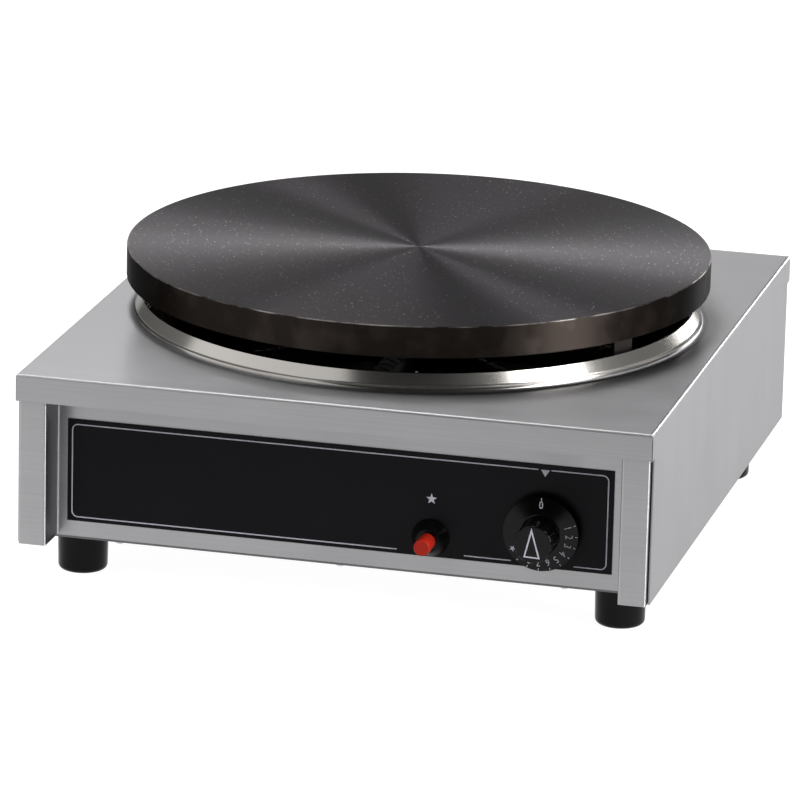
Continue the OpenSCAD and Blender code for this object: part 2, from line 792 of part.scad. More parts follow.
module burner() {
    bore_r = mix_r - mix_wall;
    hub_half = arm_r + burner_wall;
    color(iron) difference() {
        union() {
            translate([0, 0, bowl_floor_z]) cylinder(h = hub_base_h, r = mix_flange_r);
            translate([0, 0, bowl_floor_z + weld]) cylinder(h = arm_rise - weld, r = mix_r);
            translate([0, 0, arm_z - hub_half]) cylinder(h = 2 * hub_half, r = hub_r);
            for (i = [0:arm_count - 1]) rotate(i * 360 / arm_count)
                translate([0, 0, arm_z]) rotate([0, 90, 0]) cylinder(h = arm_len, r = arm_r);
        }
        translate([0, 0, bowl_floor_z - eps]) cylinder(h = arm_rise + eps, r = bore_r);
        translate([0, 0, arm_z - arm_r]) cylinder(h = 2 * arm_r, r = hub_r - burner_wall);
        for (i = [0:arm_count - 1]) rotate(i * 360 / arm_count) {
            translate([0, 0, arm_z]) rotate([0, 90, 0])
                cylinder(h = arm_len - burner_wall, r = arm_r - burner_wall);
            burner_ports();
        }
        translate([0, 0, bowl_floor_z - eps]) at_burner_bolts()
            cylinder(h = hub_base_h + 2 * eps, r = bolt_r + hole_room);
    }
}

// Slots across the crown of one arm
module burner_ports() {
    pitch = (arm_len - hub_r - burner_wall * 2) / port_count;
    for (k = [0:port_count - 1])
        translate([hub_r + (k + 0.5) * pitch, -arm_r, arm_z + arm_r - burner_wall - 0.8])
            cube([port_w, 2 * arm_r, burner_wall + 0.8 + eps]);
}

module burner_bolts() {
    head_h = 4;
    grip = hub_base_h + bowl_t + hub_base_h;
    color(steel) at_burner_bolts() translate([0, 0, bowl_floor_z + hub_base_h]) {
        linear_extrude(head_h) hexagon(8);
        translate([0, 0, -grip - 2]) cylinder(h = grip + 2 + weld, r = bolt_r);
    }
}

module mixing_tube() {
    window = [16, 8];
    color(iron) difference() {
        union() {
            towards_rear(0, mix_front_y, mix_z) cylinder(h = mix_len + mix_r + mix_wall, r = mix_r);
            translate([0, 0, mix_z]) cylinder(h = bowl_z - mix_z, r = mix_r);
            translate([0, 0, bowl_z - hub_base_h]) cylinder(h = hub_base_h, r = mix_flange_r);
        }
        towards_rear(0, mix_front_y + mix_wall, mix_z)
            cylinder(h = mix_len + mix_r - mix_wall, r = mix_r - mix_wall);
        translate([0, 0, mix_z]) cylinder(h = bowl_z - mix_z + eps, r = mix_r - mix_wall);
        towards_rear(0, mix_front_y - eps, mix_z)
            cylinder(h = mix_wall + 2 * eps, r = holder_r + hole_room);
        for (a = [0, 90])
            translate([0, mix_front_y + mix_wall + 6 + window[0] / 2, mix_z]) rotate([0, a, 0])
                cube([window[1], window[0], 2 * mix_r + eps], center = true);
        translate([0, 0, bowl_z - hub_base_h - eps]) at_burner_bolts()
            cylinder(h = hub_base_h + 2 * eps, r = bolt_r + hole_room);
    }
}

module injector_holder() {
    color(brass) difference() {
        union() {
            towards_rear(0, holder_end_y, mix_z) linear_extrude(holder_hex_len) hexagon(19);
            towards_rear(0, mix_front_y - weld, mix_z) cylinder(h = mix_wall + 10 + weld, r = holder_r);
        }
        towards_rear(0, holder_end_y - eps, mix_z) cylinder(h = mix_len, r = holder_r - 2);
    }
}

module injector() {
    start_y = mix_front_y + mix_wall + 10;
    color(brass) difference() {
        union() {
            towards_rear(0, start_y - jet_len, mix_z)
                cylinder(h = jet_len + weld, r = holder_r - 2 - hole_room / 2);
            towards_rear(0, start_y, mix_z) linear_extrude(4) hexagon(10);
            towards_rear(0, start_y + 4 - weld, mix_z) cylinder(h = 3 + weld, r1 = 4, r2 = 2.5);
        }
        towards_rear(0, start_y - jet_len - eps, mix_z) cylinder(h = jet_len + 2, r = 2.5);
        towards_rear(0, start_y - eps, mix_z) cylinder(h = 10, r = 0.8);
    }
}

module gas_valve() {
    color(brass) difference() {
        union() {
            translate([valve_side_x, valve_front_y, knob_z - valve_h / 2])
                cube([valve_w, valve_d, valve_h]);
            on_panel(knob_x, knob_z) translate([0, 0, -valve_back - weld])
                cylinder(h = valve_back + weld, r = gland_r);
            translate([valve_side_x + weld, burner_pipe_y, mix_z]) rotate([0, -90, 0])
                cylinder(h = port_boss_len + weld, r = port_boss_r);
            towards_rear(knob_x, valve_rear_y - weld, knob_z)
                cylinder(h = port_boss_len + weld, r = port_boss_r);
        }
        on_panel(knob_x, knob_z) {
            translate([0, 0, chamber_front - eps])
                cylinder(h = 2 * eps - chamber_front, r = spindle_r + run_room);
            translate([0, 0, chamber_back]) cylinder(h = chamber_front - chamber_back, r = chamber_r);
        }
        translate([valve_side_x + 10, burner_pipe_y, mix_z]) rotate([0, -90, 0])
            cylinder(h = 20 + port_boss_len, r = burner_pipe_r - pipe_wall);
        towards_rear(knob_x, valve_rear_y - 4, knob_z)
            cylinder(h = 10 + port_boss_len, r = inlet_pipe_r - pipe_wall);
        at_valve_screws() screw_hole(screw_len);
    }
}

// Screws that hold the valve on its bracket, pointing up
module at_valve_screws() {
    for (s = [-1, 1])
        translate([knob_x + s * valve_w / 4, valve_front_y + valve_d / 2, knob_z - valve_h / 2 - 2 * sheet])
            children();
}

module valve_bracket() {
    bracket_w = valve_w - 4;
    bracket_d = valve_d - 18;
    drop = knob_z - valve_h / 2 - side_z;
    color(steel) difference() {
        translate([knob_x - bracket_w / 2, valve_front_y + (valve_d - bracket_d) / 2, side_z])
            cube([bracket_w, bracket_d, drop]);
        translate([knob_x - bracket_w / 2 + 2 * sheet, valve_front_y, side_z - eps])
            cube([bracket_w - 4 * sheet, valve_d, drop - 2 * sheet + eps]);
        at_valve_screws() screw_hole(screw_len);
    }
}

module valve_screws() {
    color(steel) at_valve_screws() sheet_screw();
}

module valve_plunger() {
    color(brass) on_panel(knob_x, knob_z) translate([0, 0, plunger_back]) difference() {
        cylinder(h = plunger_len, r = chamber_r - run_room);
        translate([0, 0, -eps]) cylinder(h = plunger_len + 2 * eps, r = spindle_r + run_room);
    }
}

module valve_spring() {
    wire_r = 0.6;
    spring_front = shoulder_back - knob_travel - end_room - 2 * wire_r;
    color(steel) on_panel(knob_x, knob_z)
        coil(chamber_r - 2 * wire_r, wire_r, chamber_back + wire_r + lay_room, spring_front, 7);
}

// The spindle's round stem with the flat that drives the knob
module spindle_stem(room, from, to) {
    difference() {
        translate([0, 0, from]) cylinder(h = to - from, r = spindle_r + room);
        translate([-spindle_d, spindle_flat + room, knob_back + 2]) cube([2 * spindle_d, spindle_d, to]);
    }
}

module valve_spindle() {
    color(steel) on_panel(knob_x, knob_z) {
        spindle_stem(0, shoulder_back + weld, spindle_end);
        translate([0, 0, shoulder_back]) cylinder(h = 2, r = spindle_r + 2);
    }
}

module gas_knob() {
    skirt_r = skirt_d / 2;
    grip_r = grip_d / 2;
    foot_r = grip_r + grip_taper;
    skirt_wall = 2.5;
    face_r = 1;
    flute_at = grip_r + flute_r - flute_depth;
    flute_turn = 10;
    color(black) on_panel(knob_x, knob_z) difference() {
        turned(concat([[0, knob_back], [knob_hub_r, knob_back], [knob_hub_r, knob_back + rim_t],
                       [grip_r, cone_top - skirt_wall], [skirt_r - skirt_wall, knob_back + rim_t / 2],
                       [skirt_r - skirt_wall, knob_back], [skirt_r, knob_back],
                       [skirt_r, knob_back + rim_t]],
                      arc([foot_r + grip_fillet, cone_top + grip_fillet], grip_fillet, 270, 180),
                      arc([grip_r - face_r, knob_face - face_r], face_r, 0, 90),
                      [[0, knob_face]]));
        spindle_stem(hole_room / 4, knob_back - eps, spindle_end + lay_room);
        for (i = [0:flute_count - 1])
            rotate(flute_turn + i * 360 / flute_count)
                translate([flute_at, 0, cone_top + 2 * grip_fillet]) cylinder(h = knob_face, r = flute_r);
    }
}

module knob_clip() {
    color(steel) on_panel(knob_x, knob_z) translate([0, 0, knob_back + 0.3]) difference() {
        cylinder(h = rim_t - 1, r = knob_hub_r + 1);
        translate([0, 0, -eps]) cylinder(h = rim_t + 2 * eps, r = knob_hub_r);
    }
}

module igniter_bezel() {
    color(black) on_panel(igniter_x, igniter_z) difference() {
        turned([[0, -sleeve_len], [sleeve_d / 2, -sleeve_len], [sleeve_d / 2, label_t],
                [bezel_d / 2, label_t], [bezel_d / 2, label_t + 1], [bezel_nose_d / 2, bezel_h],
                [0, bezel_h]]);
        translate([0, 0, -sleeve_len - eps])
            cylinder(h = sleeve_len + bezel_h + 2 * eps, r = button_r + run_room);
    }
}

module igniter_nut() {
    nut_h = 5;
    color(black) on_panel(igniter_x, igniter_z) translate([0, 0, -sheet - nut_h])
        linear_extrude(nut_h) difference() {
            hexagon(sleeve_d + 6);
            circle(sleeve_d / 2 + hole_room / 2);
        }
}

module igniter_body() {
    color(black) on_panel(igniter_x, igniter_z) difference() {
        union() {
            translate([0, 0, igniter_end]) cylinder(h = igniter_len, d = igniter_d);
            translate([0, 0, terminal_end]) cylinder(h = terminal_len + weld, r = lead_r);
        }
        translate([0, 0, igniter_floor]) cylinder(h = igniter_len, r = igniter_bore_r);
    }
}

module igniter_button() {
    edge_r = 0.8;
    color(red) on_panel(igniter_x, igniter_z) {
        turned(concat([[0, button_back], [igniter_bore_r - run_room, button_back],
                       [igniter_bore_r - run_room, button_back + button_shoulder_len],
                       [button_r, button_back + button_shoulder_len]],
                      arc([button_r - edge_r, button_face - edge_r], edge_r, 0, 90),
                      [[0, button_face]]));
    }
}

module igniter_spring() {
    wire_r = 0.5;
    color(steel) on_panel(igniter_x, igniter_z)
        coil(igniter_bore_r - 2 * wire_r, wire_r, igniter_floor + wire_r + lay_room,
             button_back - button_travel - end_room - wire_r, 4);
}

module ignition_lead() {
    color(black) swept(eased(ignition_route, line_ease), lead_r);
}

// A stem of the pilot group, with the collar that stands on the bracket
module pilot_stem(p, top) {
    translate([p[0], p[1], pilot_stem_z]) cylinder(h = top - pilot_stem_z, r = pilot_stem_r);
    translate([p[0], p[1], pilot_seat_z]) cylinder(h = pilot_collar_h, r = pilot_collar_r);
}

module electrode_insulator() {
    color(ceramic) difference() {
        pilot_stem(electrode_at, arm_z - 4);
        translate([electrode_at[0], electrode_at[1], pilot_stem_z - eps])
            cylinder(h = arm_rise + bowl_depth, r = 1 + hole_room / 2);
    }
}

module electrode_rod() {
    color(steel) translate([electrode_at[0], electrode_at[1], electrode_end_z])
        cylinder(h = arm_z + 6 - electrode_end_z, r = 1);
}

module pilot_bracket() {
    bracket_w = 2 * pilot_pitch + 2 * pilot_collar_r + 4;
    bracket_d = 2 * pilot_collar_r;
    color(steel) difference() {
        translate([pilot_at[0] - bracket_w / 2, pilot_at[1] - bracket_d / 2, bowl_floor_z])
            cube([bracket_w, bracket_d, pilot_seat_z - bowl_floor_z]);
        translate([pilot_at[0] - bracket_w / 2 + pilot_plate_t, pilot_at[1] - bracket_d,
                   bowl_floor_z - eps])
            cube([bracket_w - 2 * pilot_plate_t, 2 * bracket_d, pilot_plate_z - bowl_floor_z + eps]);
        for (p = [electrode_at, pilot_mid, thermo_at])
            translate([p[0], p[1], pilot_plate_z - eps])
                cylinder(h = pilot_plate_t + 2 * eps, r = pilot_stem_r + hole_room);
    }
}

module pilot_burner() {
    color(brass) difference() {
        pilot_stem(pilot_mid, arm_z + 2);
        translate([pilot_at[0], pilot_at[1], pilot_seat_z + pilot_collar_h])
            cylinder(h = arm_rise, r = pilot_stem_r - 1);
    }
}

module pilot_pipe() {
    color(copper) swept(eased(pilot_route, pipe_ease), 2);
}

module thermocouple() {
    color(copper) {
        pilot_stem(thermo_at, arm_z - 6);
        translate([thermo_at[0], thermo_at[1], arm_z - 6 - weld]) cylinder(h = 12, r = pilot_stem_r - 1);
    }
}

module thermocouple_lead() {
    color(copper) swept(eased(thermo_route, pipe_ease), 1.6);
}

module thermostat_bulb() {
    color(copper) translate([bulb_x, bulb_y, bulb_z]) rotate([0, 90, 0]) cylinder(h = bulb_len, r = bulb_r);
}

module thermostat_capillary() {
    color(copper) swept(eased(capillary_route, line_ease), capillary_r);
}

module bulb_clips() {
    clip = [6, 2 * bulb_r + 6, 2 * bulb_r + 2.5];
    color(steel) for (k = [1, 3]) difference() {
        translate([bulb_x + k * bulb_len / 4 - clip[0] / 2, bulb_y - clip[1] / 2, recess_z - clip[2]])
            cube(clip);
        translate([bulb_x - eps, bulb_y, bulb_z]) rotate([0, 90, 0])
            cylinder(h = bulb_len + 2 * eps, r = bulb_r + hole_room);
    }
}

module gas_inlet() {
    color(brass) difference() {
        union() {
            towards_rear(knob_x, panel_y, knob_z) cylinder(h = inlet_len, r = inlet_r);
            towards_rear(knob_x, panel_y - sheet - weld, knob_z)
                cylinder(h = sheet + weld + inlet_nut_h + inlet_step, r = inlet_r + inlet_step);
            towards_rear(knob_x, panel_y - sheet - inlet_nut_h, knob_z)
                linear_extrude(inlet_nut_h) hexagon(inlet_af);
            towards_rear(knob_x, inlet_tail_y, knob_z)
                cylinder(h = panel_y - sheet - inlet_nut_h - inlet_tail_y + weld, r = port_boss_r);
        }
        towards_rear(knob_x, inlet_tail_y - eps, knob_z)
            cylinder(h = panel_y + inlet_len - inlet_tail_y + 2 * eps, r = inlet_pipe_r - pipe_wall);
    }
}

module inlet_locknut() {
    color(brass) towards_rear(knob_x, panel_y, knob_z) linear_extrude(inlet_nut_h) difference() {
        hexagon(inlet_af);
        circle(inlet_r + inlet_step + hole_room / 2);
    }
}

module inlet_pipe() {
    start_y = valve_rear_y + port_boss_len;
    color(copper) towards_rear(knob_x, start_y, knob_z) difference() {
        cylinder(h = inlet_tail_y - start_y, r = inlet_pipe_r);
        translate([0, 0, -eps])
            cylinder(h = inlet_tail_y - start_y + 2 * eps, r = inlet_pipe_r - pipe_wall);
    }
}

// Section of the burner pipe
module burner_pipe_ring() {
    difference() {
        circle(burner_pipe_r);
        circle(burner_pipe_r - pipe_wall);
    }
}

module burner_pipe() {
    start_x = valve_side_x - port_boss_len;
    color(copper) {
        translate([pipe_bend, burner_pipe_y, mix_z]) rotate([0, 90, 0])
            linear_extrude(start_x - pipe_bend) burner_pipe_ring();
        translate([pipe_bend, burner_pipe_y + pipe_bend, mix_z]) rotate([0, 0, 180])
            rotate_extrude(angle = 90) translate([pipe_bend, 0]) burner_pipe_ring();
        towards_rear(0, burner_pipe_y + pipe_bend, mix_z)
            linear_extrude(holder_end_y - burner_pipe_y - pipe_bend) burner_pipe_ring();
    }
}

// A nut that slides over a pipe
module pipe_nut(pipe_r) {
    linear_extrude(pipe_nut_h) difference() {
        hexagon(2 * pipe_r + 7);
        circle(pipe_r + hole_room);
    }
}

module pipe_nuts() {
    color(brass) {
        translate([valve_side_x - port_boss_len, burner_pipe_y, mix_z]) rotate([0, -90, 0])
            pipe_nut(burner_pipe_r);
        towards_rear(0, holder_end_y - pipe_nut_h, mix_z) pipe_nut(burner_pipe_r);
        towards_rear(knob_x, valve_rear_y + port_boss_len, knob_z) pipe_nut(inlet_pipe_r);
        towards_rear(knob_x, inlet_tail_y - pipe_nut_h, knob_z) pipe_nut(inlet_pipe_r);
    }
}

top_cover();
front_frame();
rear_frame();
base_plate();
base_screws();
cover_screws();
control_label();
foot_front_left();
foot_front_right();
foot_rear_left();
foot_rear_right();
foot_nuts();
griddle_plate();
plate_lugs();
plate_dowels();
lug_screws();
burner_bowl();
burner();
burner_bolts();
mixing_tube();
injector_holder();
injector();
gas_valve();
valve_bracket();
valve_screws();
valve_plunger();
valve_spring();
valve_spindle();
gas_knob();
knob_clip();
igniter_bezel();
igniter_body();
igniter_nut();
igniter_button();
igniter_spring();
ignition_lead();
electrode_insulator();
electrode_rod();
pilot_bracket();
pilot_burner();
pilot_pipe();
thermocouple();
thermocouple_lead();
thermostat_bulb();
thermostat_capillary();
bulb_clips();
gas_inlet();
inlet_locknut();
inlet_pipe();
burner_pipe();
pipe_nuts();
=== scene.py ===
"""Looks of a countertop gas crepe maker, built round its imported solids.

The solids stay where the frame puts them. This script gives each of them its finish, adds the printed marks
of the control label and of the dial, and sets up the studio and the camera. Lengths are in millimetres unless
a name or a comment says otherwise; Blender's own unit is the metre.
"""

import json
import logging
import math
from collections.abc import Callable, Sequence
from dataclasses import dataclass, field
from enum import Enum
from typing import Any

import bmesh
import bpy
from mathutils import Matrix, Vector

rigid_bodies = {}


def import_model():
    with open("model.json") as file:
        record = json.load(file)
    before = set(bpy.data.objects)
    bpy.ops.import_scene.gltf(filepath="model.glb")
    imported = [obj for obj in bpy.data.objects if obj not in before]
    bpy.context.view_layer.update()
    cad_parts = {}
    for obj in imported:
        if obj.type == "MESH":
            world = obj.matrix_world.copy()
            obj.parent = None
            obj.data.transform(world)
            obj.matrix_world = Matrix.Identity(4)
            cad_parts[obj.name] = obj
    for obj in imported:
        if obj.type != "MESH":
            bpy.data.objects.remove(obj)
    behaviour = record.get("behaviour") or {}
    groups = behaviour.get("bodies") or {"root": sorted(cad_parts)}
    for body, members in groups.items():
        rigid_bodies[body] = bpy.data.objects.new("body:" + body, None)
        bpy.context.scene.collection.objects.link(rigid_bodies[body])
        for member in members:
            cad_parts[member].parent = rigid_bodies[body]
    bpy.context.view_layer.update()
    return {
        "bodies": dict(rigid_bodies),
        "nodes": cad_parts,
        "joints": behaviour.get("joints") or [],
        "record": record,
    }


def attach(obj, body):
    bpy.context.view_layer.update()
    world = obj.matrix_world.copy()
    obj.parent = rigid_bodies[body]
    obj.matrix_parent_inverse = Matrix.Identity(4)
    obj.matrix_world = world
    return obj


LOG = logging.getLogger("crepe_maker")
MM = 0.001

Point = tuple[float, float]
Span = tuple[float, float]
Place = Callable[[float, float, float], tuple[float, float, float]]


def linear(hex_colour: str) -> tuple[float, float, float, float]:
    """Turn an sRGB hex colour into linear light.

    Args:
        hex_colour: A colour such as "#b92d23".

    Returns:
        Linear red, green and blue with full alpha.
    """
    channels = [int(hex_colour[i:i + 2], 16) / 255 for i in (1, 3, 5)]
    red, green, blue = (c / 12.92 if c <= 0.04045 else ((c + 0.055) / 1.055) ** 2.4 for c in channels)
    return red, green, blue, 1.0


def per_metre(size_mm: float) -> float:
    """Give the texture scale at which one pattern feature is size_mm long."""
    return 1.0 / (size_mm * MM)


def add(tree: bpy.types.NodeTree, kind: str, inputs: dict[str | int, Any] | None = None,
        **settings: Any) -> bpy.types.Node:
    """Add one node with its settings, values and links.

    Args:
        tree: The node tree that gets the node.
        kind: The node's type without its ShaderNode prefix.
        inputs: For each input socket a value, an output socket, or a node whose first live output feeds it.
        settings: The node's own properties.

    Returns:
        The new node.
    """
    node = tree.nodes.new("ShaderNode" + kind)
    for key, value in settings.items():
        setattr(node, key, value)
    for key, value in (inputs or {}).items():
        if isinstance(value, bpy.types.Node):
            value = next(socket for socket in value.outputs if socket.enabled)
        if isinstance(value, bpy.types.NodeSocket):
            tree.links.new(value, node.inputs[key])
        else:
            node.inputs[key].default_value = value
    return node


# Finishes


@dataclass(frozen=True)
class Finish:
    """A surface as its process leaves it: two close colours in soft patches, and a fine grit.

    The subclasses add what their own process shows, such as brush lines or turning rings.
    """

    name: str
    colour: str
    tint: str
    roughness: float
    metallic: float = 0.0
    specular: float = 0.5
    patch_mm: float = 20.0
    spread: float = 0.05
    grit_mm: float = 0.8
    grit_depth_mm: float = 0.004
    noise_span: Span = (0.3, 0.7)

    def material(self) -> bpy.types.Material:
        """Give this finish's material, built on first use."""
        found = bpy.data.materials.get(self.name)
        if found is not None:
            return found
        made = bpy.data.materials.new(self.name)
        made.use_nodes = True
        tree = made.node_tree
        tree.nodes.clear()
        shader = add(tree, "BsdfPrincipled", {"Base Color": linear(self.colour), "Roughness": self.roughness,
                                              "Metallic": self.metallic, "Specular IOR Level": self.specular})
        add(tree, "OutputMaterial", {"Surface": shader})
        self.detail(tree, shader, add(tree, "TexCoord").outputs["Object"])
        return made

    def detail(self, tree: bpy.types.NodeTree, shader: bpy.types.Node, spot: bpy.types.NodeSocket) -> None:
        """Give the surface its patches and its grit.

        Args:
            tree: The material's nodes.
            shader: The surface shader that the detail feeds.
            spot: The place on the piece, in metres.
        """
        patches = add(tree, "TexNoise", {"Vector": spot, "Scale": per_metre(self.patch_mm), "Detail": 4.0})
        grit = add(tree, "TexNoise", {"Vector": spot, "Scale": per_metre(self.grit_mm), "Detail": 2.0})
        colour = add(tree, "Mix", {0: patches, 6: linear(self.colour), 7: linear(self.tint)},
                     data_type="RGBA")
        gloss = add(tree, "MapRange", {"Value": patches,
                                       "From Min": self.noise_span[0], "From Max": self.noise_span[1],
                                       "To Min": self.roughness - self.spread,
                                       "To Max": self.roughness + self.spread})
        bump = add(tree, "Bump", {"Height": grit, "Distance": self.grit_depth_mm * MM, "Strength": 1.0})
        tree.links.new(colour.outputs[2], shader.inputs["Base Color"])
        tree.links.new(gloss.outputs[0], shader.inputs["Roughness"])
        tree.links.new(bump.outputs[0], shader.inputs["Normal"])


@dataclass(frozen=True)
class BrushedSheet(Finish):
    """Stainless sheet brushed along its length, with a collar drawn from it.

    The collar is brushed upright. Painted shade darkens the foot of the collar, and an occlusion test adds
    painted shade to the seams and corners.
    """

    line_mm: float = 0.9
    line_len_mm: float = 130.0
    collar_tint: str = "#b0ada8"
    collar_roughness: float = 0.12
    collar_r: float = 194.6
    collar_fade: float = 0.8
    # Where the painted shade at the collar's foot begins, is full, stays full and ends, in mm from the
    # middle, and how dark it gets.
    foot_from: float = 194.2
    foot_full: float = 194.9
    foot_flat: float = 196.6
    foot_to: float = 200.0
    foot_dark: float = 0.45
    collar_relief: float = 0.5
    anisotropy: float = 0.85
    edge_tint: str = "#bcbcbc"
    # How far the occlusion test for the painted shade in seams reaches, how dark that shade gets, and the
    # span it is mapped from.
    seam_mm: float = 2.5
    seam_dark: float = 0.4
    seam_span: Span = (0.3, 0.85)
    wear_span: Span = (0.6, 1.4)
    side_facing: float = 0.75
    folded_side_x: float = 214.5

    def detail(self, tree: bpy.types.NodeTree, shader: bpy.types.Node, spot: bpy.types.NodeSocket) -> None:
        """Draw the brush lines, which follow the sheet over its folds and stand upright on the collar."""
        normal = add(tree, "NewGeometry").outputs["Normal"]
        facing = add(tree, "SeparateXYZ", {0: add(tree, "VectorMath", {0: normal}, operation="ABSOLUTE")})
        is_side = add(tree, "Math", {0: facing.outputs["X"], 1: self.side_facing}, operation="GREATER_THAN")
        radial = add(tree, "VectorMath", {0: spot, 1: (1.0, 1.0, 0.0)}, operation="MULTIPLY")
        reach = add(tree, "VectorMath", {0: radial}, operation="LENGTH").outputs["Value"]
        collar = add(tree, "MapRange", {"Value": reach, "From Min": (self.collar_r + self.collar_fade) * MM,
                                        "From Max": self.collar_r * MM, "To Min": 0.0, "To Max": 1.0})
        away = add(tree, "SeparateXYZ", {0: add(tree, "VectorMath", {0: spot}, operation="ABSOLUTE")})
        is_folded = add(tree, "Math", {0: away.outputs["X"], 1: self.folded_side_x * MM},
                        operation="GREATER_THAN")
        fine, coarse = per_metre(self.line_mm), per_metre(self.line_len_mm)
        across = add(tree, "VectorMath", {0: spot, 1: (coarse, fine, fine)}, operation="MULTIPLY")
        inward = add(tree, "VectorMath", {0: spot, 1: (fine, coarse, fine)}, operation="MULTIPLY")
        upright = add(tree, "VectorMath", {0: spot, 1: (fine, fine, coarse)}, operation="MULTIPLY")
        side_lines = add(tree, "Mix", {0: is_folded, 4: inward, 5: upright}, data_type="VECTOR")
        flat_lines = add(tree, "Mix", {0: is_side, 4: across, 5: side_lines}, data_type="VECTOR")
        place = add(tree, "SeparateXYZ", {0: spot})
        angle = add(tree, "Math", {0: place.outputs["Y"], 1: place.outputs["X"]}, operation="ARCTAN2")
        round_at = add(tree, "Math", {0: angle, 1: self.collar_r * MM * fine}, operation="MULTIPLY")
        rise = add(tree, "Math", {0: place.outputs["Z"], 1: coarse}, operation="MULTIPLY")
        ring_lines = add(tree, "CombineXYZ", {0: round_at, 2: rise})
        lines_at = add(tree, "Mix", {0: collar, 4: flat_lines, 5: ring_lines}, data_type="VECTOR")
        lines = add(tree, "TexNoise", {"Vector": lines_at, "Scale": 1.0, "Detail": 3.0, "Roughness": 0.65})
        smears = add(tree, "TexNoise", {"Vector": spot, "Scale": per_metre(self.patch_mm), "Detail": 2.0})
        brushed = add(tree, "Mix", {0: lines, 6: linear(self.colour), 7: linear(self.tint)}, data_type="RGBA")
        clean = add(tree, "Mix", {0: collar, 6: brushed.outputs[2], 7: linear(self.collar_tint)},
                    data_type="RGBA")
        # Painted shade: the colour darkens down to seam_dark where an occlusion test finds faces within
        # seam_mm, in seams, corners and steps.
        open_sky = add(tree, "AmbientOcclusion", {"Distance": self.seam_mm * MM}, samples=8).outputs["AO"]
        painted_seam_shade = add(tree, "MapRange", {"Value": open_sky,
                                       "From Min": self.seam_span[0], "From Max": self.seam_span[1],
                                       "To Min": self.seam_dark, "To Max": 1.0})
        # Painted shade: a dark band round the foot of the collar, from foot_from out to foot_to, darkest at
        # foot_dark.
        under_bead = add(tree, "MapRange", {"Value": reach, "From Min": self.foot_from * MM,
                                            "From Max": self.foot_full * MM,
                                            "To Min": 1.0, "To Max": self.foot_dark})
        off_foot = add(tree, "MapRange", {"Value": reach, "From Min": self.foot_flat * MM,
                                          "From Max": self.foot_to * MM,
                                          "To Min": self.foot_dark, "To Max": 1.0})
        painted_foot_shade = add(tree, "Math", {0: under_bead, 1: off_foot}, operation="MAXIMUM")
        # The painted shade of the seams and of the collar's foot darkens the colour.
        painted_shade = add(tree, "Math", {0: painted_seam_shade, 1: painted_foot_shade}, operation="MULTIPLY")
        colour = add(tree, "Mix", {0: 1.0, 6: clean.outputs[2], 7: painted_shade},
                     data_type="RGBA", blend_type="MULTIPLY")
        worn = add(tree, "Math", {0: lines, 1: smears}, operation="ADD")
        gloss = add(tree, "MapRange", {"Value": worn,
                                       "From Min": self.wear_span[0], "From Max": self.wear_span[1],
                                       "To Min": self.roughness - self.spread,
                                       "To Max": self.roughness + self.spread})
        satin = add(tree, "Mix", {0: collar, 2: gloss, 3: self.collar_roughness}, data_type="FLOAT")
        depth = add(tree, "MapRange", {"Value": collar, "To Min": 1.0, "To Max": self.collar_relief})
        bump = add(tree, "Bump", {"Height": lines, "Strength": depth, "Distance": self.grit_depth_mm * MM})
        side_run = add(tree, "Mix", {0: is_folded, 4: (0.0, 1.0, 0.0), 5: (0.0, 0.0, 1.0)},
                       data_type="VECTOR")
        groove = add(tree, "Mix", {0: is_side, 4: (1.0, 0.0, 0.0), 5: side_run}, data_type="VECTOR")
        ring = add(tree, "VectorMath", {0: (0.0, 0.0, 1.0), 1: radial}, operation="CROSS_PRODUCT")
        over_groove = add(tree, "VectorMath", {0: normal, 1: groove}, operation="CROSS_PRODUCT")
        spread_way = add(tree, "Mix", {0: collar, 4: over_groove, 5: ring}, data_type="VECTOR")
        shader.inputs["Anisotropic"].default_value = self.anisotropy
        shader.inputs["Specular Tint"].default_value = linear(self.edge_tint)
        tree.links.new(colour.outputs[2], shader.inputs["Base Color"])
        tree.links.new(satin.outputs[0], shader.inputs["Roughness"])
        tree.links.new(bump.outputs[0], shader.inputs["Normal"])
        tree.links.new(spread_way.outputs[1], shader.inputs["Tangent"])


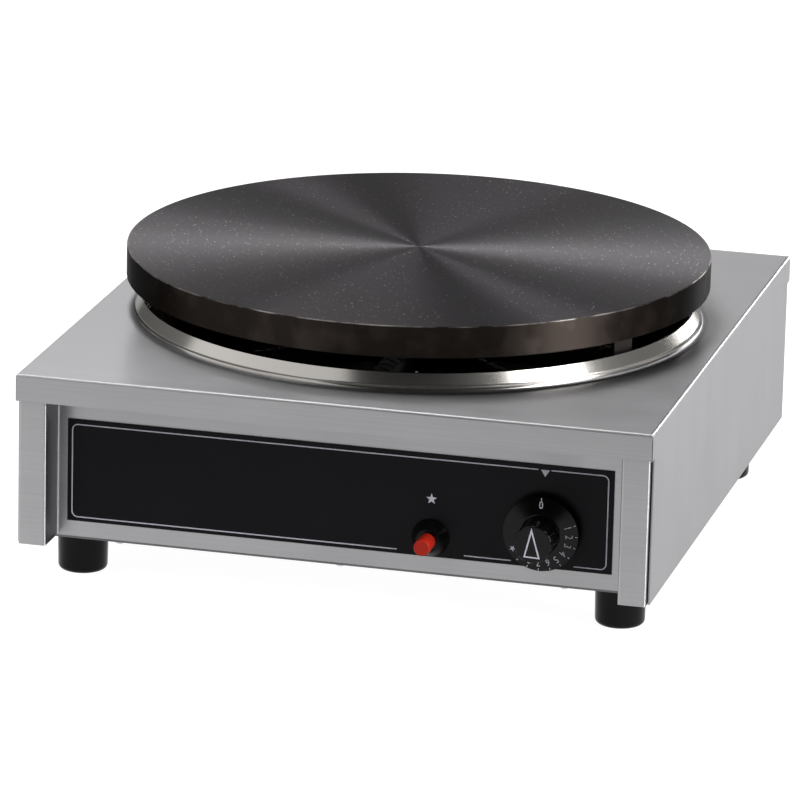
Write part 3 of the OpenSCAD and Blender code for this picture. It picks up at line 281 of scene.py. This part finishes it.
@dataclass(frozen=True)
class TurnedIron(Finish):
    """A cast iron plate, turned on a lathe and seasoned: fine rings, open pores, a brown skin on the rim."""

    top_tint: str = "#aeaeae"
    rim_tint: str = "#6a6a6a"
    rim: str = "#2b2623"
    rim_patch: str = "#38322e"
    rim_roughness: float = 0.45
    rim_metallic: float = 0.9
    # The lighter colour of the top's outer edge: worn bare iron, and partly a painted highlight.
    edge: str = "#8f8b87"
    speck: str = "#c6c2bd"
    ring_mm: float = 1.9
    pore_mm: float = 2.3
    pore_share: float = 0.21
    pore_span: Span = (0.78, 1.0)
    blotch_span: Span = (0.48, 0.66)
    rubbed_span: Span = (0.42, 0.62)
    rubbed_in: Span = (0.9, 0.3)
    rubbed_down: Span = (0.9, 0.5)
    oil_mm: float = 110.0
    anisotropy: float = 1.0
    top_facing: float = 0.6
    outer_r: float = 200.0
    top_z: float = 196.2

    def detail(self, tree: bpy.types.NodeTree, shader: bpy.types.Node, spot: bpy.types.NodeSocket) -> None:
        """Draw the turning rings, the pores, the seasoned rim and the worn edge, whose lighter colour is
        partly a painted highlight.
        """
        normal = add(tree, "NewGeometry").outputs["Normal"]
        upward = add(tree, "SeparateXYZ", {0: normal}).outputs["Z"]
        height = add(tree, "SeparateXYZ", {0: spot}).outputs["Z"]
        radial = add(tree, "VectorMath", {0: spot, 1: (1.0, 1.0, 0.0)}, operation="MULTIPLY")
        reach = add(tree, "VectorMath", {0: radial}, operation="LENGTH").outputs["Value"]
        rings = add(tree, "TexNoise", {"W": reach, "Scale": per_metre(self.ring_mm), "Detail": 3.0},
                    noise_dimensions="1D")
        cells = add(tree, "TexVoronoi", {"Vector": spot, "Scale": per_metre(self.pore_mm)},
                    voronoi_dimensions="2D")
        chance = add(tree, "SeparateXYZ", {0: cells.outputs["Color"]})
        size = add(tree, "MapRange", {"Value": chance.outputs["X"],
                                      "From Min": self.pore_span[0], "From Max": self.pore_span[1],
                                      "To Min": 0.0, "To Max": self.pore_share})
        holes = add(tree, "Math", {0: cells.outputs["Distance"], 1: size}, operation="LESS_THAN")
        pores = add(tree, "Math", {0: holes, 1: chance.outputs["Y"]}, operation="MULTIPLY")
        on_top = add(tree, "Math", {0: upward, 1: self.top_facing}, operation="GREATER_THAN")
        skin = add(tree, "TexNoise", {"Vector": spot, "Scale": per_metre(self.patch_mm), "Detail": 4.0})
        oiled = add(tree, "TexNoise", {"Vector": spot, "Scale": per_metre(self.oil_mm), "Detail": 3.0})
        top = add(tree, "Mix", {0: oiled, 6: linear(self.colour), 7: linear(self.tint)}, data_type="RGBA")
        pitted = add(tree, "Mix", {0: pores, 6: top.outputs[2], 7: linear(self.speck)}, data_type="RGBA")
        blotch = add(tree, "MapRange", {"Value": skin, "From Min": self.blotch_span[0],
                                        "From Max": self.blotch_span[1]})
        rim = add(tree, "Mix", {0: blotch, 6: linear(self.rim), 7: linear(self.rim_patch)}, data_type="RGBA")
        body = add(tree, "Mix", {0: on_top, 6: rim.outputs[2], 7: pitted.outputs[2]}, data_type="RGBA")
        # A lighter, broken line along the top's outer edge: worn bare iron, and partly a painted highlight.
        out = add(tree, "MapRange", {"Value": reach, "From Min": (self.outer_r - self.rubbed_in[0]) * MM,
                                     "From Max": (self.outer_r - self.rubbed_in[1]) * MM})
        high = add(tree, "MapRange", {"Value": height, "From Min": (self.top_z - self.rubbed_down[0]) * MM,
                                      "From Max": (self.top_z - self.rubbed_down[1]) * MM})
        wear_and_highlight = add(tree, "MapRange", {"Value": skin, "From Min": self.rubbed_span[0],
                                        "From Max": self.rubbed_span[1]})
        bare = add(tree, "Math", {0: out, 1: high}, operation="MULTIPLY")
        worn = add(tree, "Math", {0: bare, 1: wear_and_highlight}, operation="MULTIPLY")
        colour = add(tree, "Mix", {0: worn, 6: body.outputs[2], 7: linear(self.edge)}, data_type="RGBA")
        turned = add(tree, "MapRange", {"Value": rings,
                                        "From Min": self.noise_span[0], "From Max": self.noise_span[1],
                                        "To Min": self.roughness - self.spread,
                                        "To Max": self.roughness + self.spread})
        gloss = add(tree, "Mix", {0: on_top, 2: self.rim_roughness, 3: turned}, data_type="FLOAT")
        grit = add(tree, "TexNoise", {"Vector": spot, "Scale": per_metre(self.grit_mm), "Detail": 2.0})
        relief = add(tree, "Mix", {0: on_top, 2: grit, 3: rings}, data_type="FLOAT")
        bump = add(tree, "Bump", {"Height": relief, "Distance": self.grit_depth_mm * MM, "Strength": 1.0})
        bare_iron = add(tree, "MapRange", {"Value": on_top,
                                           "To Min": self.rim_metallic, "To Max": self.metallic})
        glance = add(tree, "Mix", {0: on_top, 6: linear(self.rim_tint), 7: linear(self.top_tint)},
                     data_type="RGBA")
        spread_way = add(tree, "Mix", {0: on_top, 4: (0.0, 0.0, 1.0), 5: radial}, data_type="VECTOR")
        shader.inputs["Anisotropic"].default_value = self.anisotropy
        tree.links.new(bare_iron.outputs[0], shader.inputs["Metallic"])
        tree.links.new(colour.outputs[2], shader.inputs["Base Color"])
        tree.links.new(gloss.outputs[0], shader.inputs["Roughness"])
        tree.links.new(bump.outputs[0], shader.inputs["Normal"])
        tree.links.new(glance.outputs[2], shader.inputs["Specular Tint"])
        tree.links.new(spread_way.outputs[1], shader.inputs["Tangent"])


# Austenitic stainless, brushed with a fine belt: grey, with long soft lines that stretch reflections across
# them. The real lines are some 0.05 mm apart and are drawn coarser here, or they would not show.
BRUSHED_STAINLESS = BrushedSheet("brushed_stainless_sheet", "#9c9b9d", "#b2b1b3", 0.38, 1.0, patch_mm=60.0,
                                 spread=0.04, grit_depth_mm=0.0018)
# Grey iron, turned and seasoned: nearly black, with a soft sheen that fans out from the middle.
# The tool marks are some 0.3 mm apart and are drawn coarser here, or they would not show.
SEASONED_IRON = TurnedIron("turned_seasoned_cast_iron", "#39373c", "#363232", 0.345, 1.0, 0.25, patch_mm=24.0,
                           spread=0.008, grit_mm=1.2, grit_depth_mm=0.0002)
# Grey iron as it leaves the sand, sooted by the flames: nearly black, dull and rough to the touch.
RAW_IRON = Finish("sand_cast_iron", "#110f0e", "#171310", 0.85, 0.6, 0.12, patch_mm=18.0, grit_mm=1.1,
                  grit_depth_mm=0.12)
# Steel that the flames have stained: dark, with warmer brown patches.
HEATED_STEEL = Finish("heat_stained_steel", "#1a1817", "#27211e", 0.5, 0.8, patch_mm=26.0, spread=0.1)
# Steel with a bright zinc plating: pale grey, with a faint crystal mottle.
ZINC_STEEL = Finish("zinc_plated_steel", "#c4c6c8", "#adb0b3", 0.3, 1.0, patch_mm=4.0, spread=0.08)
# Steel sheet as it leaves the mill: a dull mid grey with a soft cloudy oxide.
MILL_STEEL = Finish("hot_rolled_steel_sheet", "#6c6c6e", "#5f5f61", 0.5, 1.0, patch_mm=30.0, spread=0.08)
# Brass, turned and left bare: warm yellow, slightly dulled by handling.
BRASS = Finish("machined_brass", "#d6b368", "#bd9550", 0.26, 1.0, patch_mm=8.0, spread=0.08)
# Copper tube, drawn and annealed: soft orange-brown with darker tarnish.
COPPER = Finish("drawn_copper_tube", "#c98d6b", "#a76a4b", 0.32, 1.0, patch_mm=12.0, spread=0.09)
# Aluminium alloy, pressure die-cast: pale grey with a fine cast skin.
CAST_ALLOY = Finish("die_cast_aluminium", "#b8babc", "#a6a8ab", 0.46, 1.0, patch_mm=10.0, grit_mm=0.9,
                    grit_depth_mm=0.02)
# Phenolic resin, hot-pressed in a polished mould: deep black with a hard gloss.
KNOB_RESIN = Finish("pressed_phenolic_resin", "#060607", "#080809", 0.1, 0.0, 0.15, patch_mm=9.0, spread=0.03,
                    grit_depth_mm=0.0015)
# ABS, injection moulded: black with a slightly softer gloss.
BLACK_ABS = Finish("moulded_black_abs", "#08080a", "#0b0b0c", 0.2, 0.0, 0.11, patch_mm=8.0,
                   grit_depth_mm=0.002)
# ABS coloured through, moulded: an even warm red with a soft shine.
RED_ABS = Finish("moulded_red_abs", "#b52517", "#bd2d1c", 0.3, 0.0, 0.15, patch_mm=5.0, grit_depth_mm=0.002)
# Polyester film, printed on its back: an even satin black.
LABEL_FILM = Finish("printed_polyester_film", "#09090e", "#0c0c11", 0.36, 0.0, 0.09, patch_mm=40.0,
                    grit_mm=0.7, grit_depth_mm=0.002)
# Epoxy ink, screen printed: a flat cool white, a little thin in places.
WHITE_INK = Finish("screen_printed_ink", "#e2e2ec", "#d8d8e4", 0.5, 0.0, 0.3, patch_mm=3.0, grit_mm=0.5)
# Steatite, pressed and fired without glaze: ivory and matt.
CERAMIC = Finish("fired_steatite", "#e2dccd", "#d3cab8", 0.55, 0.0, patch_mm=6.0, grit_mm=0.7,
                 grit_depth_mm=0.01)
# Silicone rubber, extruded as a sleeve: dark and softly dull.
SILICONE = Finish("extruded_silicone_rubber", "#2b2b2c", "#353536", 0.6, 0.0, 0.35, patch_mm=10.0)


def dress(frame: dict[str, Any], finish: Finish, nodes: Sequence[str]) -> None:
    """Give solids of the frame a finish.

    Args:
        finish: The finish.
        nodes: The solids that get it.
    """
    for node in nodes:
        mesh = frame["nodes"][node].data
        mesh.materials.clear()
        mesh.materials.append(finish.material())
        LOG.info("%s in %s", node, finish.name)


# Printed marks

# How finely a digit's curves are cut, how much its strokes are thinned, and how close two of its points are
# when they count as one, the last two in the font's own unit.
DIGIT_STEPS = 4
DIGIT_THINNING = -0.003
WELD = 1e-5


def arc(centre: Point, radius: float, start_deg: float, end_deg: float, steps: int) -> list[Point]:
    """Give points along an arc.

    Args:
        centre: The arc's centre.
        radius: Its radius.
        start_deg: Its first angle, anticlockwise from the right.
        end_deg: Its last angle.
        steps: How many pieces it is cut into.

    Returns:
        steps + 1 points.
    """
    angles = [math.radians(start_deg + (end_deg - start_deg) * i / steps) for i in range(steps + 1)]
    return [(centre[0] + radius * math.cos(a), centre[1] + radius * math.sin(a)) for a in angles]


def star(centre: Point, outer: float, inner: float, points: int) -> list[Point]:
    """Give the outline of a star that stands on two points.

    Args:
        centre: Its middle.
        outer: The radius of its tips.
        inner: The radius of its notches.
        points: How many tips it has.

    Returns:
        Its corners, from the upper tip onwards.
    """
    corners = []
    for i in range(2 * points):
        angle, radius = math.pi * i / points, (outer, inner)[i % 2]
        corners.append((centre[0] + radius * math.sin(angle), centre[1] + radius * math.cos(angle)))
    return corners


@dataclass
class Print:
    """Ink on a surface: thin closed solids, gathered in one mesh.

    place turns a point on the surface, in millimetres, and a height above it into a place in metres.
    """

    name: str
    place: Place
    proud: float = 0.06
    sunk: float = 0.02
    mesh: bmesh.types.BMesh = field(default_factory=bmesh.new)

    def layers(self, points: Sequence[Point]) -> tuple[list[bmesh.types.BMVert], list[bmesh.types.BMVert]]:
        """Set points on top of the ink and under it.

        Args:
            points: The places on the surface.

        Returns:
            The upper and the lower vertices.
        """
        upper = [self.mesh.verts.new(self.place(u, v, self.proud)) for u, v in points]
        lower = [self.mesh.verts.new(self.place(u, v, -self.sunk)) for u, v in points]
        return upper, lower

    def fill(self, points: Sequence[Point], faces: Sequence[Sequence[int]]) -> None:
        """Print a filled shape.

        Args:
            points: Its corners.
            faces: The faces that fill it, as rows of corner numbers that all run the same way round.
        """
        upper, lower = self.layers(points)
        edges = {(face[i - 1], face[i]) for face in faces for i in range(len(face))}
        for face in faces:
            self.mesh.faces.new([upper[i] for i in face])
            self.mesh.faces.new([lower[i] for i in reversed(face)])
        for a, b in edges:
            if (b, a) not in edges:
                self.mesh.faces.new((upper[b], upper[a], lower[a], lower[b]))

    def line(self, points: Sequence[Point], width: float) -> None:
        """Print an open line with square ends.

        Args:
            points: Its middle.
            width: How wide it is.
        """
        sides: list[Point] = []
        other: list[Point] = []
        for i, (u, v) in enumerate(points):
            before, after = points[max(i - 1, 0)], points[min(i + 1, len(points) - 1)]
            du, dv = after[0] - before[0], after[1] - before[1]
            half = width / 2 / math.hypot(du, dv)
            sides.append((u - dv * half, v + du * half))
            other.append((u + dv * half, v - du * half))
        count = len(points)
        self.fill(sides + other, [(i, count + i, count + i + 1, i + 1) for i in range(count - 1)])

    def ring(self, outer: Sequence[Point], inner: Sequence[Point]) -> None:
        """Print a closed line between two outlines with the same number of corners."""
        count = len(outer)
        faces = [(i, (i + 1) % count, count + (i + 1) % count, count + i) for i in range(count)]
        self.fill([*outer, *inner], faces)

    def piece(self, finish: Finish, body: str) -> bpy.types.Object:
        """Close the print and let it ride on a body.

        Args:
            finish: The ink.
            body: The body that carries it.

        Returns:
            The print as an object.
        """
        bmesh.ops.recalc_face_normals(self.mesh, faces=self.mesh.faces[:])
        data = bpy.data.meshes.new(self.name)
        self.mesh.to_mesh(data)
        self.mesh.free()
        data.materials.append(finish.material())
        made = bpy.data.objects.new(self.name, data)
        bpy.context.scene.collection.objects.link(made)
        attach(made, body)
        LOG.info("%s in %s, on %s", self.name, finish.name, body)
        return made


def digit(character: str) -> tuple[list[Point], list[tuple[int, ...]]]:
    """Fill a digit in Blender's own font.

    Args:
        character: The digit.

    Returns:
        Its corners, about its middle and with a height of 1, and the faces that fill it.
    """
    curve = bpy.data.curves.new("digit", "FONT")
    curve.body = character
    curve.resolution_u = DIGIT_STEPS
    curve.offset = DIGIT_THINNING
    holder = bpy.data.objects.new("digit", curve)
    bpy.context.scene.collection.objects.link(holder)
    flat = holder.evaluated_get(bpy.context.evaluated_depsgraph_get())
    shape = bmesh.new()
    shape.from_mesh(flat.to_mesh())
    flat.to_mesh_clear()
    bpy.data.objects.remove(holder)
    bpy.data.curves.remove(curve)
    bmesh.ops.remove_doubles(shape, verts=shape.verts[:], dist=WELD)
    shape.verts.index_update()
    us, vs = [v.co.x for v in shape.verts], [v.co.y for v in shape.verts]
    middle, height = ((min(us) + max(us)) / 2, (min(vs) + max(vs)) / 2), max(vs) - min(vs)
    points = [((u - middle[0]) / height, (v - middle[1]) / height) for u, v in zip(us, vs)]
    faces = [tuple(v.index for v in f.verts) for f in shape.faces]
    shape.free()
    return points, faces


# Sub-assemblies


@dataclass
class Casing:
    """The folded stainless casing with its base, its screws and its feet."""

    sheets: tuple[str, ...] = ("top_cover", "front_frame", "rear_frame")
    base: tuple[str, ...] = ("base_plate",)
    fasteners: tuple[str, ...] = ("base_screws", "cover_screws", "foot_nuts")
    feet: tuple[str, ...] = ("foot_front_left", "foot_front_right", "foot_rear_left", "foot_rear_right")

    def build(self, frame: dict[str, Any]) -> None:
        """Dress the sheets, the base, the fasteners and the feet."""
        dress(frame, BRUSHED_STAINLESS, self.sheets)
        dress(frame, MILL_STEEL, self.base)
        dress(frame, ZINC_STEEL, self.fasteners)
        dress(frame, BLACK_ABS, self.feet)


@dataclass
class ControlLabel:
    """The black film on the recessed panel, with its white frame line, index mark and ignition star."""

    face_y: float = -202.0
    line_w: float = 0.8
    left: float = -184.75
    right: float = 181.1
    bottom: float = 44.8
    top: float = 109.2
    corner_r: float = 3.9
    corner_steps: int = 8
    igniter_gap: Point = (39.5, 85.2)
    knob_gap: Point = (117.0, 159.4)
    index_gap: Point = (133.8, 142.6)
    index: tuple[Point, Point, Point] = ((135.5, 109.3), (141.6, 109.3), (138.4, 104.5))
    star_at: Point = (62.4, 81.7)
    star_r: float = 3.84
    star_notch: float = 1.6

    def corner(self, u: float, v: float, start_deg: float) -> list[Point]:
        """Give one corner of the frame line, run clockwise from start_deg."""
        inward_u = self.corner_r if u == self.left else -self.corner_r
        inward_v = self.corner_r if v == self.bottom else -self.corner_r
        middle = (u + inward_u, v + inward_v)
        return arc(middle, self.corner_r, start_deg, start_deg - 90.0, self.corner_steps)

    def build(self, frame: dict[str, Any]) -> None:
        """Dress the film and print on it."""
        dress(frame, LABEL_FILM, ("control_label",))
        ink = Print("label_print", lambda u, v, lift: (u * MM, (self.face_y - lift) * MM, v * MM))
        lower_left = self.corner(self.left, self.bottom, 270.0)
        upper_left = self.corner(self.left, self.top, 180.0)
        upper_right = self.corner(self.right, self.top, 90.0)
        lower_right = self.corner(self.right, self.bottom, 0.0)
        runs = ([(self.igniter_gap[0], self.bottom), *lower_left, *upper_left, (self.index_gap[0], self.top)],
                [(self.index_gap[1], self.top), *upper_right, *lower_right, (self.knob_gap[1], self.bottom)],
                [(self.igniter_gap[1], self.bottom), (self.knob_gap[0], self.bottom)])
        for run in runs:
            ink.line(run, self.line_w)
        ink.fill(self.index, [(0, 1, 2)])
        tips = star(self.star_at, self.star_r, self.star_notch, 5)
        ink.fill([*tips, self.star_at], [(i, (i + 1) % 10, 10) for i in range(10)])
        ink.piece(WHITE_INK, "casing")


@dataclass
class GasKnob:
    """The knob with its flat printed dial, its spindle and its clip."""

    axis: Point = (138.2, 67.3)
    panel_y: float = -201.5
    rim_r: float = 25.25
    rim_h: float = 8.0
    dial_in_r: float = 14.3
    dial_in_h: float = 10.0
    face_h: float = 31.5
    first_deg: float = 70.9
    step_deg: float = 18.5
    last_digit: int = 8
    digit_r: float = 19.5
    zero_r: float = 20.4
    digit_h: float = 4.8
    digit_squeeze: float = 0.85
    tick: Point = (23.3, 24.8)
    tick_w: float = 0.55
    rest_tick_deg: float = 219.0
    spark_deg: float = 238.5
    spark_r: float = 21.6
    spark_size: Point = (2.3, 0.95)
    pointer: tuple[Point, Point, Point] = ((-0.9, 11.3), (5.2, -9.4), (-5.8, -9.1))
    pointer_w: float = 0.95

    def on_dial(self, u: float, v: float, lift: float) -> tuple[float, float, float]:
        """Place a point above the dial, given from the knob's axis."""
        share = (self.rim_r - math.hypot(u, v)) / (self.rim_r - self.dial_in_r)
        height = self.rim_h + share * (self.dial_in_h - self.rim_h) + lift
        return (self.axis[0] + u) * MM, (self.panel_y - height) * MM, (self.axis[1] + v) * MM

    def on_face(self, u: float, v: float, lift: float) -> tuple[float, float, float]:
        """Place a point above the knob's flat face, given from its axis."""
        return (self.axis[0] + u) * MM, (self.panel_y - self.face_h - lift) * MM, (self.axis[1] + v) * MM

    def turned(self, points: Sequence[Point], radius: float, clockwise_deg: float) -> list[Point]:
        """Move a mark out to a radius and round the dial.

        Args:
            points: The mark's points about its own middle, its top upward.
            radius: How far out its middle goes.
            clockwise_deg: The angle from the top.

        Returns:
            The points from the knob's axis.
        """
        s, c = math.sin(math.radians(clockwise_deg)), math.cos(math.radians(clockwise_deg))
        return [((radius + v) * s + u * c, (radius + v) * c - u * s) for u, v in points]

    def build(self, frame: dict[str, Any]) -> None:
        """Dress the knob and print its dial and its pointer."""
        dress(frame, KNOB_RESIN, ("gas_knob",))
        dress(frame, ZINC_STEEL, ("valve_spindle", "knob_clip"))
        dial = Print("dial_print", self.on_dial)
        angles = [0.0] + [self.first_deg + self.step_deg * i for i in range(self.last_digit)]
        for number, angle in enumerate(angles):
            points, faces = digit(str(number))
            sized = [(u * self.digit_h * self.digit_squeeze, v * self.digit_h) for u, v in points]
            dial.fill(self.turned(sized, self.digit_r if number else self.zero_r, angle), faces)
        tick = [(0.0, 0.0), (0.0, self.tick[1] - self.tick[0])]
        for angle in [*angles, self.rest_tick_deg]:
            dial.line(self.turned(tick, self.tick[0], angle), self.tick_w)
        tips = [*star((0.0, 0.0), *self.spark_size, 5), (0.0, 0.0)]
        dial.fill(self.turned(tips, self.spark_r, self.spark_deg), [(i, (i + 1) % 10, 10) for i in range(10)])
        dial.piece(WHITE_INK, "knob")
        pointer = Print("pointer_print", self.on_face)
        pointer.ring(self.pointer, self.inset(self.pointer, self.pointer_w))
        pointer.piece(WHITE_INK, "knob")

    @staticmethod
    def inset(corners: Sequence[Point], width: float) -> list[Point]:
        """Draw a triangle's sides inward by a width.

        Args:
            corners: The triangle.
            width: How far each side moves.

        Returns:
            The smaller triangle.
        """
        sides = [math.dist(corners[i - 2], corners[i - 1]) for i in range(3)]
        around = sum(sides)
        middle = tuple(sum(s * c[k] for s, c in zip(sides, corners)) / around for k in (0, 1))
        a, b, c = corners
        area = abs((b[0] - a[0]) * (c[1] - a[1]) - (c[0] - a[0]) * (b[1] - a[1])) / 2
        keep = 1.0 - width / (2 * area / around)
        return [(middle[0] + (u - middle[0]) * keep, middle[1] + (v - middle[1]) * keep) for u, v in corners]


@dataclass
class Igniter:
    """The spark igniter: bezel, red button, body and lead, down to its electrode."""

    def build(self, frame: dict[str, Any]) -> None:
        """Dress the igniter's pieces."""
        dress(frame, BLACK_ABS, ("igniter_bezel", "igniter_body", "igniter_nut"))
        dress(frame, RED_ABS, ("igniter_button",))
        dress(frame, ZINC_STEEL, ("igniter_spring", "electrode_rod"))
        dress(frame, SILICONE, ("ignition_lead",))
        dress(frame, CERAMIC, ("electrode_insulator",))


@dataclass
class Griddle:
    """The turned plate on its lugs."""

    def build(self, frame: dict[str, Any]) -> None:
        """Dress the plate and what carries it."""
        dress(frame, SEASONED_IRON, ("griddle_plate",))
        dress(frame, HEATED_STEEL, ("plate_lugs", "plate_dowels", "lug_screws"))


@dataclass
class Burner:
    """The star burner in its bowl, with the pilot and the plate's thermostat bulb."""

    def build(self, frame: dict[str, Any]) -> None:
        """Dress the burner's pieces."""
        dress(frame, RAW_IRON, ("burner", "mixing_tube"))
        dress(frame, HEATED_STEEL, ("burner_bowl", "burner_bolts", "pilot_bracket", "bulb_clips"))
        dress(frame, BRASS, ("pilot_burner", "injector_holder", "injector"))
        dress(frame, COPPER, ("pilot_pipe", "thermocouple", "thermocouple_lead", "thermostat_bulb",
                              "thermostat_capillary"))


@dataclass
class GasTrain:
    """The valve behind the panel and the pipes from the inlet to the burner."""

    def build(self, frame: dict[str, Any]) -> None:
        """Dress the valve, the pipes and the inlet."""
        dress(frame, CAST_ALLOY, ("gas_valve",))
        dress(frame, ZINC_STEEL, ("valve_bracket", "valve_screws", "valve_spring"))
        dress(frame, BRASS, ("valve_plunger", "gas_inlet", "inlet_locknut", "pipe_nuts"))
        dress(frame, COPPER, ("inlet_pipe", "burner_pipe"))


# Studio and camera


class LampShape(Enum):
    """How a soft lamp's face is cut."""

    BROAD = "RECTANGLE"
    SQUARE = "SQUARE"


@dataclass
class SoftLamp:
    """A soft studio lamp that looks at a point. Its place, its aim and its face are in metres."""

    name: str
    at: tuple[float, float, float]
    aim: tuple[float, float, float]
    face: tuple[float, float]
    watts: float
    shape: LampShape = LampShape.BROAD

    def build(self) -> None:
        """Hang the lamp."""
        lamp = bpy.data.lights.new(self.name, "AREA")
        lamp.shape = self.shape.value
        lamp.size, lamp.size_y = self.face
        lamp.energy = self.watts
        holder = bpy.data.objects.new(self.name, lamp)
        holder.location = self.at
        holder.rotation_euler = (Vector(self.aim) - Vector(self.at)).to_track_quat("-Z", "Y").to_euler()
        bpy.context.scene.collection.objects.link(holder)
        LOG.info("lamp %s", self.name)


@dataclass
class Studio:
    """A plain pale floor under soft light: a bright wall behind, a dimmer room in front and above."""

    floor_r: float = 14.0
    floor_sides: int = 64
    floor_roughness: float = 0.9
    floor_colour: str = "#8c8c8c"
    floor_glow: float = 0.95
    fade_near: float = -0.7
    fade_far: float = -2.0
    fade_to: float = 0.05
    wall: float = 5.6
    room: float = 0.25
    room_front: float = 0.04
    front_edge: float = -0.15
    front_full: float = -0.6
    wall_low: float = 0.22
    wall_high: float = 0.38
    wall_turn_deg: float = -2.0
    wall_edge: float = 0.76
    wall_full: float = 0.95
    lamps: tuple[SoftLamp, ...] = (
        SoftLamp("overhead_lamp", (-0.5, 0.05, 1.9), (0.0, 0.0, 0.1), (1.1, 1.1), 17.5, LampShape.SQUARE),
        SoftLamp("left_softbox", (-1.81, -1.27, 1.0), (0.0, 0.0, 0.1), (3.2, 2.6), 26.0),
        SoftLamp("right_softbox", (2.42, -0.68, 1.0), (0.0, 0.0, 0.1), (1.1, 2.6), 115.0),
        SoftLamp("rear_lamp", (0.95, 2.0, 0.6), (0.2, 0.0, 0.15), (0.6, 0.6), 20.0, LampShape.SQUARE),
    )

    def build(self) -> None:
        """Lay the floor, light the room and hang the lamps."""
        self.lay_floor()
        self.light_room()
        for lamp in self.lamps:
            lamp.build()

    def lay_floor(self) -> None:
        """Lay the floor: white to the eye and in the metal, darker far in front, with the object's shadow."""
        shape = bmesh.new()
        bmesh.ops.create_circle(shape, cap_ends=True, segments=self.floor_sides, radius=self.floor_r)
        data = bpy.data.meshes.new("studio_floor")
        shape.to_mesh(data)
        shape.free()
        paint = bpy.data.materials.new("pale_studio_floor")
        paint.use_nodes = True
        tree = paint.node_tree
        tree.nodes.clear()
        path = add(tree, "LightPath")
        seen = add(tree, "Math", {0: path.outputs["Is Camera Ray"], 1: path.outputs["Is Glossy Ray"]},
                   operation="MAXIMUM")
        shown = add(tree, "Math", {0: seen, 1: path.outputs["Is Transmission Ray"]}, operation="MAXIMUM")
        ahead = add(tree, "SeparateXYZ", {0: add(tree, "TexCoord").outputs["Object"]}).outputs["Y"]
        level = add(tree, "MapRange", {"Value": ahead, "From Min": self.fade_far, "From Max": self.fade_near,
                                       "To Min": self.fade_to, "To Max": self.floor_glow})
        glow = add(tree, "Math", {0: shown, 1: level}, operation="MULTIPLY")
        shader = add(tree, "BsdfPrincipled", {"Base Color": linear(self.floor_colour),
                                              "Roughness": self.floor_roughness,
                                              "Specular IOR Level": 0.0, "Emission Strength": glow,
                                              "Emission Color": linear("#ffffff")})
        add(tree, "OutputMaterial", {"Surface": shader})
        data.materials.append(paint)
        floor = bpy.data.objects.new("studio_floor", data)
        bpy.context.scene.collection.objects.link(floor)
        LOG.info("floor laid")

    def light_room(self) -> None:
        """Light the room from all round, brightest low on the wall behind the object."""
        world = bpy.data.worlds.new("studio_room")
        world.use_nodes = True
        tree = world.node_tree
        tree.nodes.clear()
        look = add(tree, "TexCoord").outputs["Generated"]
        turn = math.radians(self.wall_turn_deg)
        toward = add(tree, "VectorMath", {0: look, 1: (-math.sin(turn), math.cos(turn), 0.0)},
                     operation="DOT_PRODUCT").outputs["Value"]
        behind = add(tree, "MapRange", {"Value": toward, "From Min": self.wall_edge,
                                        "From Max": self.wall_full}, interpolation_type="SMOOTHSTEP")
        height = add(tree, "SeparateXYZ", {0: look}).outputs["Z"]
        low = add(tree, "MapRange", {"Value": height, "From Min": self.wall_high, "From Max": self.wall_low},
                  interpolation_type="SMOOTHSTEP")
        share = add(tree, "Math", {0: behind, 1: low}, operation="MULTIPLY")
        ambient = add(tree, "MapRange", {"Value": toward, "From Min": self.front_full,
                                         "From Max": self.front_edge,
                                         "To Min": self.room_front, "To Max": self.room})
        level = add(tree, "MapRange", {"Value": share, "To Min": ambient, "To Max": self.wall})
        light = add(tree, "Background", {"Color": linear("#ffffff"), "Strength": level})
        add(tree, "OutputWorld", {"Surface": light})
        bpy.context.scene.world = world
        LOG.info("room lit")


@dataclass
class PhotoCamera:
    """The camera that took the photograph. Its angles are seen from the object's front."""

    at: tuple[float, float, float] = (1012.243, -4104.998, 1347.596)
    azimuth_deg: float = 13.997
    elevation_deg: float = 16.613
    roll_deg: float = 1.384
    lens: float = 288.0
    sensor: float = 36.0

    def build(self) -> None:
        """Set the camera up and make it the scene's."""
        a, e, r = (math.radians(d) for d in (self.azimuth_deg, self.elevation_deg, self.roll_deg))
        right = Vector((math.cos(a), math.sin(a), 0.0))
        forward = Vector((-math.sin(a) * math.cos(e), math.cos(a) * math.cos(e), -math.sin(e)))
        up = right.cross(forward)
        across = right * math.cos(r) + up * math.sin(r)
        upright = up * math.cos(r) - right * math.sin(r)
        turn = Matrix((across, upright, -forward)).transposed()
        data = bpy.data.cameras.new("photo_camera")
        data.sensor_width = self.sensor
        data.lens = self.lens
        camera = bpy.data.objects.new("photo_camera", data)
        camera.matrix_world = Matrix.Translation(Vector(self.at) * MM) @ turn.to_4x4()
        bpy.context.scene.collection.objects.link(camera)
        bpy.context.scene.camera = camera
        LOG.info("camera set")


def main() -> None:
    """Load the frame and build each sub-assembly."""
    logging.basicConfig(level=logging.INFO, format="%(name)s: %(message)s")
    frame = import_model()
    bpy.context.scene.view_settings.view_transform = "Standard"
    PhotoCamera().build()
    Studio().build()
    for part in (Casing(), ControlLabel(), GasKnob(), Igniter(), Griddle(), Burner(), GasTrain()):
        part.build(frame)


if __name__ == "__main__":
    main()
